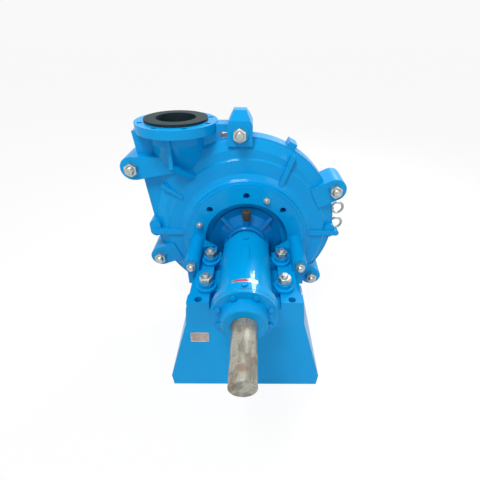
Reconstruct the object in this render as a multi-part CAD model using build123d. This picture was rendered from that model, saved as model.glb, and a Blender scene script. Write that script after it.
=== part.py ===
from build123d import *
import math
import os

# Slurry pump with split, rubber lined casing, overhung shaft and clamped bearing assembly.
# Origin: on the floor, below the shaft axis, in the middle of the four hold-down holes.
# +Z is up, +Y runs from the drive end to the suction, +X is to the right seen from the drive end.

# Overall places along the pump
shaft_height = 457.0
shaft_end = -578.0
nose_front = -371.0
cover_front = -330.0
rail_front = -235.0
ring_front = 118.0
ring_back = 150.0
split_y = 230.0
suction_face = 470.0

# Clearances
cut_over = 5.0
seat_gap = 0.3
fit_gap = 0.25
small_gap = 0.12
slide_gap = 0.5

# Base frame
base_half_width = 303.0
base_toe = 297.0
base_length = 565.0
hold_spacing_x = 526.0
hold_spacing_y = 457.0
hold_hole = 14.0
foot_height = 50.0
foot_pad_height = 28.0
foot_pad_half = 46.0
frame_wall = 16.0
rail_drop = 30.0
rail_inner = 128.0
rail_outer = 195.0
rail_depth = 62.0
pad_width = 14.0
pad_length = 35.0
pad_taper = 37.0
pad_hole = 13.0
apron_drop = 157.0
waist_half_width = 222.0
waist_drop = 142.0
top_half_width = 209.0
skirt_toe_height = 48.0
trough_radius = 113.0
trough_wall = 15.0
back_window_half = 170.0
back_window_height = 140.0
screw_slot_half = 34.0
saddle_floor = 15.0

# Bolting ring and shoulders of the frame
ring_opening = 179.0
ring_face_radius = 251.0
ring_radius = 262.0
ring_step = 6.0
ring_holes_radius = 213.0
ring_hole = 13.0
ring_hole_count = 8
ring_stud_count = 4
ring_stud_radius = 8.0
ring_stud_start = 67.5
shoulder_radius = 30.0
shoulder_front = -60.0
shoulder_stud_radius = 11.0
shoulder_root = 91.0
shoulder_root_height = 56.0

# Casing
case_x = -10.0
case_rise = 30.0
case_radius = 395.0
case_depth = 63.0
case_rim = 35.0
case_wall = 13.0
lug_radius = 46.0
lug_front = 68.0
bolt_offset = 26.0
top_lug_offset = 14.0
neck_lug_reach = 98.0
top_lug_width = 95.0
top_lug_rise = 76.0
top_lug_crest = 25.0
top_lug_boss = 34.0
lug_face_step = 4.0
neck_arm_drop = 17.0
casing_bolt_radius = 15.0
casing_nut_flats = 46.0
bolt_angles = (92.0, 27.0, -39.0, -99.0, 201.0)
neck_lug_angle = 148.0
rib_thickness = 16.0
upper_rib_angle = 60.0
upper_rib_lean = 3.0
upper_rib_thickness = 21.0
rim_ear_angle = 62.5
rim_ear = 34.0
neck_rib_angle = 52.0
lower_rib_angle = 146.0

# Liners and wet passage
rubber_wall = 16.0
rubber_rim = 24.0
wet_half = 34.0
hub_wet_half = 50.0
hub_shell = 33.0
back_liner_radius = 150.0
rubber_proud = 10.0

# Discharge
rim_metal = 38.0
discharge_bore = 76.0
discharge_liner_radius = 94.0
discharge_rise = 483.0
throat_low_rise = 300.0
throat_high_rise = 400.0
discharge_flange_radius = 156.0
discharge_flange_thickness = 34.0
discharge_ring_radius = 120.0
discharge_pcd_radius = 135.0
flange_hole = 11.0
flange_holes = 8
neck_wall = 14.0
neck_left_reach = 168.0
neck_right_reach = 155.0

# Suction
suction_bore = 102.0
suction_flange_radius = 184.0
suction_flange_thickness = 26.0
suction_pcd_radius = 162.0
suction_neck_radius = 136.0
intake_thickness = 12.0
intake_radius = 146.0
cover_ribs = 8

# Bearing housing
housing_radius = 95.0
housing_flange_radius = 112.0
housing_flange = 30.0
housing_back = 20.0
housing_pad_half = 14.0
cover_thickness = 14.0
cover_pcd_radius = 93.0
cover_screws = 8
cover_screw_radius = 6.0
rear_screw_pcd_radius = 86.0
nose_radius = 75.0
nose_root_radius = 81.0
nose_rear = 50.0
rear_nose_radius = 62.0
shim_thickness = 1.0
side_lug_half = 127.0
side_lug_depth = 32.0
side_lug_ahead = 18.0
side_lug_length = 50.0
clamp_x = 144.0
clamp_front = -153.0
clamp_rear = 6.0
clamp_washer_radius = 38.0
clamp_washer_thickness = 28.0
clamp_washer_rim = 14.0
clamp_hub_radius = 27.0
clamp_bolt_radius = 12.0
clamp_nut_flats = 42.0
clamp_nut_height = 25.0

# Bearings
bearing_outer = 75.0
bearing_bore = 43.0
bearing_width = 38.0
bearing_inset = 16.0
roller_pitch_radius = 57.5
roller_count = 14
roller_length = 25.0
inner_race_angle = 10.0
roller_half_angle = 1.8

# Shaft line
shaft_radius = 40.0
labyrinth_seat = 41.5
shaft_middle = 50.0
sleeve_seat_radius = 36.0
thread_radius = 30.0
key_width = 22.0
key_depth = 7.0
key_length = 160.0
key_angle = 36.0
sleeve_radius = 46.0
labyrinth_radius = 60.0

# Stuffing box, gland and grease cup
box_front = 84.0
box_radius = 85.0
box_flange = 12.0
box_neck_radius = 120.0
box_ribs = 4
packing_radius = 62.0
packing_size = 12.0
packing_count = 4
lantern_length = 14.0
gland_back_off = 8.0
gland_flange_front = 66.0
gland_flange = 12.0
gland_radius = 98.0
gland_stud_radius = 8.0
gland_stud_x = 80.0
cup_y = 108.0
cup_radius = 19.0
cup_rise = 155.0
cup_height = 24.0
cup_wall = 1.0

# Impeller
impeller_rim_gap = 14.0
impeller_eye = 98.0
impeller_side_gap = 6.0
impeller_throat_gap = 6.0
shroud = 13.0
expeller_height = 6.0
vane_count = 5
vane_thickness = 22.0
vane_sweep = 70.0
hub_radius = 58.0

# Adjusting screw
screw_radius = 10.0
screw_drop = 142.0
screw_web_y = -150.0
screw_web = 20.0
adjust_nut_flats = 30.0
adjust_nut = 16.0

# Small things
eye_ring = 25.0
eye_wire = 6.0
eye_angles = (9.5, -1.0)
plate_width = 70.0
plate_height = 45.0
plate_thickness = 1.5
plate_half_angle = 27.5
direction_plate_front = -266.0
direction_plate_length = 16.0
rivet_radius = 2.5

rail_top = shaft_height - rail_drop
waist_height = shaft_height - waist_drop
apron_break = shaft_height - apron_drop
cup_top = shaft_height + cup_rise
discharge_top = shaft_height + discharge_rise
throat_low = shaft_height + throat_low_rise
throat_high = shaft_height + throat_high_rise
case_z = shaft_height + case_rise
hub_span = case_radius - ring_radius
case_bevel_radius = ring_radius + hub_span * 2 / 3
hub_land_outer = ring_radius + hub_span * 3 / 5
hub_land_inner = ring_radius + hub_span / 5
hub_wet_radius = hub_land_inner - hub_shell
impeller_radius = hub_wet_radius - impeller_rim_gap
wet_radius = case_radius - rim_metal - rubber_rim
discharge_x = case_x - wet_radius + discharge_bore
neck_left = discharge_x - neck_left_reach
neck_right = discharge_x + neck_right_reach
flange_under = discharge_top - rubber_proud - discharge_flange_thickness
bolt_reach = case_radius + bolt_offset
housing_front = cover_front + cover_thickness + shim_thickness
rear_cover_front = housing_back + shim_thickness
face_y = split_y - case_depth
spacer_start = nose_rear - cover_screw_radius
sleeve_start = gland_flange_front - gland_back_off - cut_over
hub_front = split_y - hub_wet_half - rubber_wall + impeller_side_gap


def upright(y):
    """Plane across the pump at a station, with local x along X and local y along Z."""
    return Plane(origin=(0, y, 0), x_dir=(1, 0, 0), z_dir=(0, -1, 0))


def slab(sketch, front, back):
    """Sketch drawn in X and Z, made solid between two stations."""
    return extrude(upright(back) * sketch, back - front)


def rod(radius, front, back, x=0, z=shaft_height):
    return slab(Pos(x, z) * Circle(radius), front, back)


def tube(outer, inner, front, back, x=0, z=shaft_height):
    return slab(Pos(x, z) * (Circle(outer) - Circle(inner)), front, back)


def turned(points, x=0, z=shaft_height):
    """Profile of (radius, station) points turned about a lengthways axis."""
    profile = make_face(Polyline(*points, close=True))
    return Pos(x, 0, z) * revolve(profile, Axis.Y)


def column(radius, bottom, top, x=0, y=0):
    return Pos(x, y, bottom) * extrude(Circle(radius), top - bottom)


def block(x_low, x_high, y_low, y_high, z_low, z_high):
    centre = ((x_low + x_high) / 2, (y_low + y_high) / 2, (z_low + z_high) / 2)
    return Pos(*centre) * Box(x_high - x_low, y_high - y_low, z_high - z_low)


def polygon(points):
    return make_face(Polyline(*points, close=True))


def nut(flats, hole, front, back, x=0, z=shaft_height):
    outline = RegularPolygon(flats / 2, 6, major_radius=False, rotation=30)
    return slab(Pos(x, z) * (outline - Circle(hole)), front, back)


def upright_nut(flats, hole, bottom, top, x, y):
    outline = RegularPolygon(flats / 2, 6, major_radius=False)
    return Pos(x, y, bottom) * extrude(outline - Circle(hole), top - bottom)


def around(count, radius, start=0.0, x=0, z=shaft_height):
    """Places on a circle across the pump."""
    places = []
    for index in range(count):
        angle = math.radians(start + index * 360 / count)
        places.append((x + radius * math.cos(angle), z + radius * math.sin(angle)))
    return places


def on_case(angle, reach):
    turn = math.radians(angle)
    return case_x + reach * math.cos(turn), case_z + reach * math.sin(turn)


def both_sides(shape):
    return shape + mirror(shape, about=Plane.YZ)


def turned_over(shape):
    """Mirror image of a front casing shape behind the split."""
    return mirror(shape, about=Plane(origin=(0, split_y, 0), z_dir=(0, 1, 0)))


def joined(shapes):
    """Separate solids kept side by side in one group."""
    solids = []
    for shape in shapes:
        solids.extend(shape.solids())
    return Compound(children=solids)


def ring_stud_places():
    return [place for place in around(ring_stud_count, ring_holes_radius, ring_stud_start) if place[1] > shaft_height]


def screw_front():
    return screw_web_y - screw_web / 2 - 3 * adjust_nut


def screw_back():
    return screw_lug_front() + screw_slot_half


def screw_lug_front():
    return screw_web_y + screw_web + 2 * adjust_nut


# Frame
def skirt_outline(inset):
    """Front view of the pedestal, narrower by an inset on every side but the floor."""
    right = [
        (base_toe - inset, 0),
        (base_half_width - inset, skirt_toe_height),
        (waist_half_width - inset, waist_height - inset),
        (top_half_width - inset, rail_top - inset),
    ]
    left = [(-x, z) for x, z in reversed(right)]
    return polygon(right + left)


def side_view():
    """Side view of the pedestal and its feet, drawn in Y and Z."""
    half = base_length / 2
    points = [
        (-half, 0),
        (rail_front, apron_break),
        (rail_front, rail_top),
        (ring_back, rail_top),
        (ring_back, rail_top / 2),
        (ring_back + foot_height, foot_height),
        (half, foot_height),
        (half, 0),
    ]
    outline = Plane.YZ * polygon(points)
    return extrude(outline, base_half_width, both=True)


def rail():
    outline = polygon([
        (rail_inner, rail_front),
        (rail_outer + pad_width, rail_front),
        (rail_outer + pad_width, rail_front + pad_length),
        (rail_outer, rail_front + pad_length + pad_taper),
        (rail_outer, ring_front),
        (rail_inner, ring_front),
    ])
    return Pos(0, 0, rail_top - rail_depth) * extrude(outline, rail_depth)


def front_foot_pad():
    """Flat inside the pedestal for one hold-down bolt."""
    x = hold_spacing_x / 2
    y = -hold_spacing_y / 2
    return block(x - foot_pad_half, base_half_width, -base_length / 2, y + foot_pad_half, 0, foot_pad_height)


def shoulder_gusset():
    """Wedge that widens a shoulder inwards where it meets the ring."""
    side = polygon([
        (rail_inner + seat_gap, rail_top - seat_gap),
        (ring_holes_radius, rail_top - seat_gap),
        (ring_holes_radius, rail_top + shoulder_root_height),
    ])
    plan = polygon([
        (ring_holes_radius, ring_front - shoulder_root),
        (ring_holes_radius, ring_front),
        (rail_inner, ring_front),
    ])
    return slab(side, ring_front - shoulder_root, ring_front) & extrude(plan, 2 * shaft_height)


def frame():
    half = base_length / 2
    body = slab(skirt_outline(0), -half, half) & side_view()
    hollow = slab(skirt_outline(frame_wall), -half - cut_over, ring_front)
    lean = Plane.YZ * polygon([
        (-half + frame_wall, -cut_over),
        (rail_front + frame_wall, apron_break),
        (rail_front + frame_wall, rail_top),
        (ring_front, rail_top),
        (ring_front, -cut_over),
    ])
    hollow = hollow & extrude(lean, base_half_width, both=True)
    trough_shell = rod(trough_radius + trough_wall, rail_front, ring_front)
    body = body - (hollow - trough_shell)
    feet_gap = block(-hold_spacing_x / 2 + foot_height, hold_spacing_x / 2 - foot_height,
                     ring_back, half + cut_over, -cut_over, rail_top)
    body = body - feet_gap
    back_window = block(-back_window_half, back_window_half, ring_front - cut_over, half + cut_over,
                        -cut_over, back_window_height)
    body = body - back_window
    shelf = rail_top - rail_depth / 2
    body = body - block(-base_half_width, base_half_width, rail_front - cut_over, ring_front, shelf, 2 * rail_top)
    ledge = rail_top - side_lug_depth - seat_gap
    deck = block(-rail_outer, rail_outer, rail_front, ring_front, ledge - saddle_floor, ledge)
    body = body + deck
    body = body + both_sides(rail())
    body = body + (both_sides(front_foot_pad()) & slab(skirt_outline(0), -half, half) & side_view())
    for side in (-1, 1):
        body = body + rod(shoulder_radius, shoulder_front, ring_front, side * ring_holes_radius)
        web_middle = side * (ring_holes_radius - shoulder_radius / 8)
        body = body + block(web_middle - shoulder_radius * 3 / 4, web_middle + shoulder_radius * 3 / 4,
                            shoulder_front, ring_front, rail_top - rail_depth, shaft_height)
    body = body + both_sides(shoulder_gusset())
    ring = turned([
        (0, ring_front),
        (ring_face_radius, ring_front),
        (ring_face_radius, ring_front + ring_step),
        (ring_radius, ring_front + ring_step),
        (ring_radius, ring_back),
        (0, ring_back),
    ])
    body = body + ring
    above = block(-rail_inner, rail_inner, rail_front - cut_over, ring_front,
                  ledge, shaft_height + ring_radius)
    body = body - above
    body = body - rod(trough_radius, rail_front - cut_over, ring_front)
    body = body - rod(trough_radius + trough_wall, box_front, ring_front)
    body = body - rod(ring_opening, ring_front, ring_back + cut_over)
    slot = block(-screw_slot_half, screw_slot_half, screw_front() - cut_over, screw_back() + 2 * cut_over,
                 shaft_height - screw_drop, shaft_height)
    body = body - slot
    web = block(-screw_slot_half - frame_wall, screw_slot_half + frame_wall,
                screw_web_y - screw_web / 2, screw_web_y + screw_web / 2,
                shaft_height - screw_drop - 2 * adjust_nut_flats, shaft_height - trough_radius - fit_gap)
    body = body + (web - rod(trough_radius, rail_front, ring_front))
    body = body - rod(screw_radius + slide_gap, screw_web_y - screw_web, screw_web_y + screw_web,
                      0, shaft_height - screw_drop)
    for x, z in around(ring_hole_count, ring_holes_radius):
        if z > rail_top + ring_hole and abs(x) < ring_holes_radius - ring_hole:
            body = body - rod(ring_hole, ring_front - cut_over, ring_back + cut_over, x, z)
    for x, z in ring_stud_places():
        body = body - rod(ring_stud_radius + fit_gap, ring_front - cut_over, ring_back + cut_over, x, z)
    for side in (-1, 1):
        body = body - rod(shoulder_stud_radius + fit_gap, shoulder_front - cut_over, ring_back + cut_over,
                          side * ring_holes_radius)
        body = body - column(pad_hole, rail_top - rail_depth - cut_over, rail_top + cut_over,
                             side * (rail_inner + rail_outer + pad_width) / 2, rail_front + pad_length / 2)
        for y in (clamp_front, clamp_rear):
            body = body - column(clamp_bolt_radius + fit_gap, rail_top - 3 * rail_depth, rail_top + cut_over,
                                 side * clamp_x, y)
        for y, top in ((-hold_spacing_y / 2, foot_pad_height), (hold_spacing_y / 2, foot_height)):
            body = body - column(hold_hole, -cut_over, top + slide_gap, side * hold_spacing_x / 2, y)
    return body


# Casing
def neck_outline():
    return polygon([
        (case_x - case_radius, case_z),
        (neck_left, flange_under),
        (neck_right, flange_under),
        (neck_right + case_rim, case_z + case_radius - case_rim),
        (case_x, case_z),
    ])


def lug_outline(angle, reach):
    """Rounded ear that carries one casing bolt."""
    x, z = on_case(angle, reach)
    root_x, root_z = on_case(angle, reach - 2 * lug_radius)
    arm = Pos((x + root_x) / 2, (z + root_z) / 2) * Rot(0, 0, angle) * Rectangle(2 * lug_radius, 2 * lug_radius)
    return Pos(x, z) * Circle(lug_radius) + arm


def top_lug_outline(angle, reach):
    """Square ear with bevelled corners on top of the casing."""
    x, z = on_case(angle, reach)
    half = top_lug_width / 2
    bevel = half / 2
    return polygon([
        (x - half, z - lug_radius),
        (x + half, z - lug_radius),
        (x + half, z + top_lug_rise - 2 * bevel),
        (x + bevel, z + top_lug_rise),
        (x - bevel, z + top_lug_rise),
        (x - half, z + top_lug_rise - 2 * bevel),
    ])


def bolt_places():
    places = [on_case(bolt_angles[0], case_radius + top_lug_offset)]
    for angle in bolt_angles[1:]:
        places.append(on_case(angle, bolt_reach))
    places.append(on_case(neck_lug_angle, bolt_reach + neck_lug_reach))
    return places


def top_lug():
    """Ear on top of the casing, with a crest at the split that slopes down to the boss of its bolt."""
    x, z = on_case(bolt_angles[0], case_radius + top_lug_offset)
    face = split_y - lug_front + lug_face_step
    body = slab(top_lug_outline(bolt_angles[0], case_radius + top_lug_offset), face, split_y)
    above = Plane.YZ * polygon([
        (face - cut_over, z + lug_radius),
        (face, z + lug_radius),
        (split_y - top_lug_crest, z + top_lug_rise),
        (split_y - top_lug_crest, z + 2 * top_lug_rise),
        (face - cut_over, z + 2 * top_lug_rise),
    ])
    body = body - extrude(above, case_radius, both=True)
    return body + rod(top_lug_boss, split_y - lug_front, face, x, z)


def rim_ear_block():
    """Small block on the rim at the end of the upper rib."""
    x, z = on_case(rim_ear_angle, case_radius)
    outline = Pos(x, z) * Rot(0, 0, rim_ear_angle) * Rectangle(2 * bolt_offset * 4 / 5, rim_ear)
    return slab(outline, split_y - case_rim, split_y)


def neck_arm_outline():
    """Level arm from the bolt beside the neck to the rib on the neck."""
    x, z = on_case(neck_lug_angle, bolt_reach + neck_lug_reach)
    knee = neck_knee()
    arm = polygon([
        (x, z + lug_radius),
        (knee[0], z + lug_radius),
        (knee[0], z - neck_arm_drop),
        (x + lug_radius / 4, z - lug_radius),
        (x, z - lug_radius),
    ])
    return Pos(x, z) * Circle(lug_radius) + arm


def neck_knee():
    return discharge_x - rib_thickness, case_z + case_radius * 3 / 4


def ear_outlines():
    ears = [lug_outline(angle, bolt_reach) for angle in bolt_angles[1:]]
    ears.append(neck_arm_outline())
    return ears


def cavity(grow, rim, ring_top):
    """Hollow shared by the casing, its liners and the passage, grown sideways and at the rim."""
    half = wet_half + grow
    hub_half = hub_wet_half + grow
    drum = rod(wet_radius + rim, split_y - half, split_y + half, case_x, case_z)
    hub = rod(hub_wet_radius + grow, split_y - hub_half, split_y + hub_half)
    duct_radius = discharge_bore + (discharge_liner_radius - discharge_bore) * grow / rubber_wall
    return drum + hub + duct(duct_radius, half, ring_top)


def duct(radius, half, top):
    """Neck that is round at the discharge and flattens into the side of the casing."""
    oval = Ellipse(radius, half)
    stem = extrude(Pos(discharge_x, split_y, case_z) * oval, throat_low - case_z)
    blend = loft([Pos(discharge_x, split_y, throat_low) * oval,
                  Pos(discharge_x, split_y, throat_high) * Circle(radius)])
    return stem + blend + column(radius, throat_high, top, discharge_x, split_y)


def front_half(shape):
    reach = 2 * case_radius
    return shape & block(-reach, reach, -reach, split_y, -reach, 4 * case_radius)


def web(points, width, front, back):
    """Rib that follows a line of points across the pump."""
    outline = None
    for start, end in zip(points, points[1:]):
        length = math.dist(start, end)
        angle = math.degrees(math.atan2(end[1] - start[1], end[0] - start[0]))
        middle = Pos((start[0] + end[0]) / 2, (start[1] + end[1]) / 2)
        piece = middle * Rot(0, 0, angle) * SlotOverall(length + width, width)
        outline = piece if outline is None else outline + piece
    return slab(outline, front, back)


def leaning_web(start, end, start_front, end_front, back):
    """Straight rib whose front edge leans back from its start to its end."""
    length = math.dist(start, end)
    angle = math.degrees(math.atan2(end[1] - start[1], end[0] - start[0]))
    side = polygon([
        (-rib_thickness / 2, start_front),
        (0, start_front),
        (length, end_front),
        (length, back),
        (-rib_thickness / 2, back),
    ])
    rib = extrude(side, rib_thickness * 5 / 8, both=True)
    return Pos(start[0], 0, start[1]) * Rot(0, -angle, 0) * rib


def casing_half(hub_shape):
    """Front casing half without its bolting hub: rim, dome, neck, flange, ears."""
    shell = slab(Pos(case_x, case_z) * Circle(case_radius) + neck_outline(), split_y - case_rim, split_y)
    dome = turned([
        (0, face_y + case_wall / 2),
        (case_bevel_radius, face_y + case_wall / 2),
        (case_radius - case_wall, split_y - case_rim - case_wall / 2),
        (case_radius, split_y - case_rim + case_wall / 2),
        (case_radius, split_y),
        (0, split_y),
    ], case_x, case_z)
    neck = duct(discharge_liner_radius + neck_wall, case_depth, flange_under)
    flange = column(discharge_flange_radius, flange_under, flange_under + discharge_flange_thickness,
                    discharge_x, split_y)
    shell = shell + dome + neck + flange + hub_shape
    for ear in ear_outlines():
        shell = shell + slab(ear, split_y - lug_front, split_y)
    shell = shell + top_lug() + rim_ear_block()
    bar = block(neck_right - case_rim, on_case(bolt_angles[0], bolt_reach)[0], split_y - case_rim, split_y,
                flange_under, flange_under + discharge_flange_thickness * 5 / 6)
    shell = front_half(shell + bar)
    shell = shell - cavity(rubber_wall + fit_gap, rubber_rim + fit_gap, discharge_top + cut_over)
    for x, z in bolt_places():
        shell = shell - rod(casing_bolt_radius + slide_gap, face_y - lug_front, split_y + cut_over, x, z)
    for index in range(flange_holes):
        turn = math.radians((index + 0.5) * 360 / flange_holes)
        x = discharge_x + discharge_pcd_radius * math.cos(turn)
        y = split_y + discharge_pcd_radius * math.sin(turn)
        shell = shell - column(flange_hole, flange_under - cut_over, discharge_top, x, y)
    return shell


def frame_plate():
    hub = turned([
        (0, ring_back),
        (ring_radius, ring_back),
        (ring_radius + rib_thickness / 2, ring_back + rib_thickness / 2),
        (hub_land_inner, face_y),
        (hub_land_outer, face_y),
        (hub_land_outer + case_wall / 2, face_y + case_wall / 2),
        (hub_land_outer + case_wall / 2, split_y - case_rim),
        (0, split_y - case_rim),
    ])
    rib_front = face_y - rib_thickness / 2
    rib_back = split_y - case_rim
    rib_height = shaft_height + rib_thickness
    ribs = []
    for side, reach in ((1, case_radius + case_x + rib_thickness), (-1, case_radius - case_x)):
        level = web([(side * (ring_radius + rib_thickness), rib_height), (side * reach, rib_height)],
                    rib_thickness * 3 / 2, rib_front, rib_back)
        ribs.append(level)
    left_ear = [(-case_radius + case_x, rib_height), (-case_radius + case_x, rib_height + lug_radius * 2 / 3)]
    ribs.append(web(left_ear, rib_thickness * 3, face_y, split_y))
    right_ear = [(case_radius + case_x - rib_thickness, rib_height),
                 (case_radius + case_x - rib_thickness, rib_height + rib_thickness)]
    ribs.append(web(right_ear, rib_thickness * 3, face_y, split_y))
    upper = []
    for angle, reach in ((upper_rib_angle, ring_radius + rib_thickness), (upper_rib_angle + upper_rib_lean, case_radius)):
        slope = math.radians(angle)
        upper.append((reach * math.cos(slope), shaft_height + reach * math.sin(slope)))
    ribs.append(web(upper, upper_rib_thickness, rib_front, rib_back))
    neck_slope = math.radians(neck_rib_angle)
    land = hub_land_outer * math.sin(neck_slope)
    land_x = -hub_land_outer * math.cos(neck_slope)
    knee = neck_knee()
    neck_rib_front = split_y - discharge_liner_radius - neck_wall - rib_thickness / 2
    ribs.append(web([(knee[0], flange_under - rib_thickness / 2), knee], rib_thickness, neck_rib_front, rib_back))
    ribs.append(leaning_web(knee, (land_x, shaft_height + land), neck_rib_front, rib_front, rib_back))
    low_left = math.radians(lower_rib_angle)
    ribs.append(web([(reach * math.cos(low_left), shaft_height + reach * math.sin(low_left))
                     for reach in (hub_land_outer - rib_thickness, case_radius + rib_thickness)],
                    rib_thickness, face_y - rib_thickness / 4, rib_back))
    body = hub
    for rib in ribs:
        body = body + rib
    body = casing_half(body)
    body = body - rod(box_neck_radius + fit_gap, ring_back - cut_over, split_y)
    for x, z in around(ring_hole_count, ring_holes_radius):
        if z > rail_top + ring_hole and abs(x) < ring_holes_radius - ring_hole:
            body = body - rod(ring_hole - ring_step / 3, ring_back - cut_over, ring_back + case_wall / 2, x, z)
    for x, z in ring_stud_places():
        body = body - rod(ring_stud_radius + fit_gap, ring_back - cut_over, ring_back + case_wall * 2 / 3, x, z)
    for side in (-1, 1):
        body = body - rod(shoulder_stud_radius + fit_gap, ring_back - cut_over, ring_back + case_wall * 2 / 3,
                          side * ring_holes_radius)
    return body


def cover_plate():
    hub_back = split_y + hub_wet_half + rubber_wall + case_wall
    front_like = turned([
        (0, 2 * split_y - hub_back),
        (hub_wet_radius + rubber_wall + case_wall, 2 * split_y - hub_back),
        (hub_land_outer, face_y),
        (hub_land_outer, split_y - case_rim),
        (0, split_y - case_rim),
    ])
    body = turned_over(casing_half(front_like))
    neck = turned([
        (0, hub_back - case_wall),
        (suction_neck_radius + 2 * case_wall, hub_back - case_wall),
        (suction_neck_radius + 2 * case_wall, hub_back),
        (suction_neck_radius, hub_back + 2 * case_wall),
        (suction_neck_radius, suction_face - suction_flange_thickness),
        (suction_flange_radius, suction_face - suction_flange_thickness),
        (suction_flange_radius, suction_face),
        (0, suction_face),
    ])
    body = body + neck
    rib_plane = polygon([
        (suction_neck_radius - case_wall, hub_back - case_wall),
        (case_bevel_radius + case_wall, split_y + case_rim + case_wall),
        (case_bevel_radius + case_wall, split_y + case_depth + case_wall),
        (suction_neck_radius - case_wall, hub_back + (suction_face - hub_back) / 2),
    ])
    for index in range(cover_ribs):
        angle = (index + 0.5) * 360 / cover_ribs
        rib = extrude(rib_plane, rib_thickness / 2, both=True)
        body = body + Pos(0, 0, shaft_height) * Rot(0, angle, 0) * rib
    body = body - cavity(rubber_wall + fit_gap, rubber_rim + fit_gap, discharge_top + cut_over)
    body = body - rod(suction_bore + rubber_wall + fit_gap, split_y, suction_face + cut_over)
    for x, z in around(flange_holes, suction_pcd_radius, 180 / flange_holes):
        body = body - rod(flange_hole, suction_face - suction_flange_thickness - cut_over,
                          suction_face + cut_over, x, z)
    for angle in eye_angles:
        body = body - eye_shank(angle, fit_gap)
    return body


def liner(front):
    """One rubber half with its half of the discharge joint ring."""
    outer = cavity(rubber_wall, rubber_rim, discharge_top)
    ring = column(discharge_ring_radius, discharge_top - rubber_proud, discharge_top, discharge_x, split_y)
    body = outer + ring - cavity(0, 0, discharge_top + cut_over)
    reach = hub_wet_half + rubber_wall + cut_over
    body = body - rod(back_liner_radius + fit_gap, split_y - reach, split_y + reach)
    body = front_half(body)
    if front:
        return body
    return turned_over(body)


def back_liner():
    """Rubber faced disc behind the impeller, round the shaft."""
    outer_face = split_y - hub_wet_half - rubber_wall
    inner_face = split_y - hub_wet_half
    return turned([
        (hub_radius + impeller_side_gap / 2, outer_face),
        (back_liner_radius, outer_face),
        (back_liner_radius, inner_face),
        (hub_radius + impeller_side_gap / 2, inner_face),
    ])


def throatbush():
    inner_face = split_y + hub_wet_half
    return turned([
        (suction_bore, inner_face - impeller_side_gap / 2),
        (impeller_eye + rubber_wall, inner_face - impeller_side_gap / 2),
        (back_liner_radius, inner_face),
        (back_liner_radius, inner_face + rubber_wall),
        (suction_bore + rubber_wall, inner_face + rubber_wall),
        (suction_bore + rubber_wall, suction_face),
        (suction_bore, suction_face),
    ])


def intake_joint():
    return tube(intake_radius, suction_bore, suction_face, suction_face + intake_thickness)


def casing_bolts():
    bolts = []
    back = split_y + lug_front
    for x, z in bolt_places():
        shank = rod(casing_bolt_radius, split_y - lug_front - casing_bolt_radius * 2.6, back, x, z)
        head = slab(Pos(x, z) * RegularPolygon(casing_nut_flats / 2, 6, major_radius=False, rotation=30),
                    back, back + casing_bolt_radius * 1.3)
        bolts.append(shank + head)
    return joined(bolts)


def casing_nuts():
    face = split_y - lug_front
    return joined([nut(casing_nut_flats, casing_bolt_radius + small_gap, face - casing_bolt_radius * 1.6, face, x, z)
                   for x, z in bolt_places()])


def studs_with_nuts(radius, places, nut_face, end):
    studs = []
    nuts = []
    for x, z in places:
        studs.append(rod(radius, nut_face - radius * 2.6, end, x, z))
        nuts.append(nut(radius * 3, radius + small_gap, nut_face - radius * 1.6, nut_face, x, z))
    return joined(studs), joined(nuts)


def eye_shank(angle, grow):
    """Threaded shank of a lifting eye, along a radius of the casing."""
    x, z = on_case(angle, case_radius - case_rim / 2)
    shank = Cylinder(eye_wire + grow, case_rim + 2 * grow)
    middle = case_rim / 2
    turn = math.radians(angle)
    return Pos(x + middle * math.cos(turn), split_y + case_rim / 2, z + middle * math.sin(turn)) * \
        Rot(0, 90 - angle, 0) * shank


def eye_bolts():
    eyes = []
    for angle in eye_angles:
        x, z = on_case(angle, case_radius + eye_ring + eye_wire + 2 * slide_gap)
        ring = Pos(x, split_y + case_rim / 2, z) * Rot(0, 90 - angle, 0) * Rot(90, 0, 0) * Torus(eye_ring, eye_wire)
        eyes.append(ring + eye_shank(angle, 0))
    return joined(eyes)


# Stuffing box, packing and gland
def stuffing_box():
    inner_end = split_y - hub_wet_half - rubber_wall
    body = turned([
        (0, box_front),
        (box_radius - box_flange / 2, box_front),
        (box_radius, box_front + box_flange / 2),
        (box_radius, ring_back - 3 * box_flange),
        (box_neck_radius, ring_back - box_flange),
        (back_liner_radius, ring_back - box_flange),
        (back_liner_radius, ring_back),
        (box_neck_radius, ring_back),
        (box_neck_radius, inner_end),
        (0, inner_end),
    ])
    rib_plane = polygon([
        (box_radius - box_flange, box_front + 2 * box_flange),
        (box_radius, box_front + 2 * box_flange),
        (back_liner_radius, ring_back - 3 * box_flange / 2),
        (back_liner_radius, ring_back - box_flange / 2),
        (box_radius - box_flange, ring_back - box_flange / 2),
    ])
    for index in range(box_ribs):
        rib = extrude(rib_plane, box_flange * 2 / 3, both=True)
        body = body + Pos(0, 0, shaft_height) * Rot(0, (index + 0.5) * 360 / box_ribs, 0) * rib
    body = body + column(cup_radius * 2 / 3, shaft_height, shaft_height + box_radius + 2 * box_flange, 0, cup_y)
    for side in (-1, 1):
        body = body + rod(gland_stud_radius * 2, box_front, ring_back - box_flange / 2, side * gland_stud_x)
    body = body - rod(packing_radius + fit_gap, box_front - cut_over, inner_end - box_flange)
    body = body - rod(sleeve_radius + slide_gap, box_front, inner_end + cut_over)
    body = body - column(stem_radius() + fit_gap, shaft_height, shaft_height + box_neck_radius, 0, cup_y)
    for side in (-1, 1):
        body = body - rod(gland_stud_radius + fit_gap, box_front - cut_over, box_front + 2 * box_flange,
                          side * gland_stud_x)
    return body


def stem_radius():
    return cup_radius / 3


def packing_start():
    chamber_end = split_y - hub_wet_half - rubber_wall - box_flange
    return chamber_end - packing_count * packing_size - lantern_length


def lantern_front():
    """The lantern ring sits behind the first packing ring, under the grease cup."""
    return packing_start() + packing_size


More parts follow.
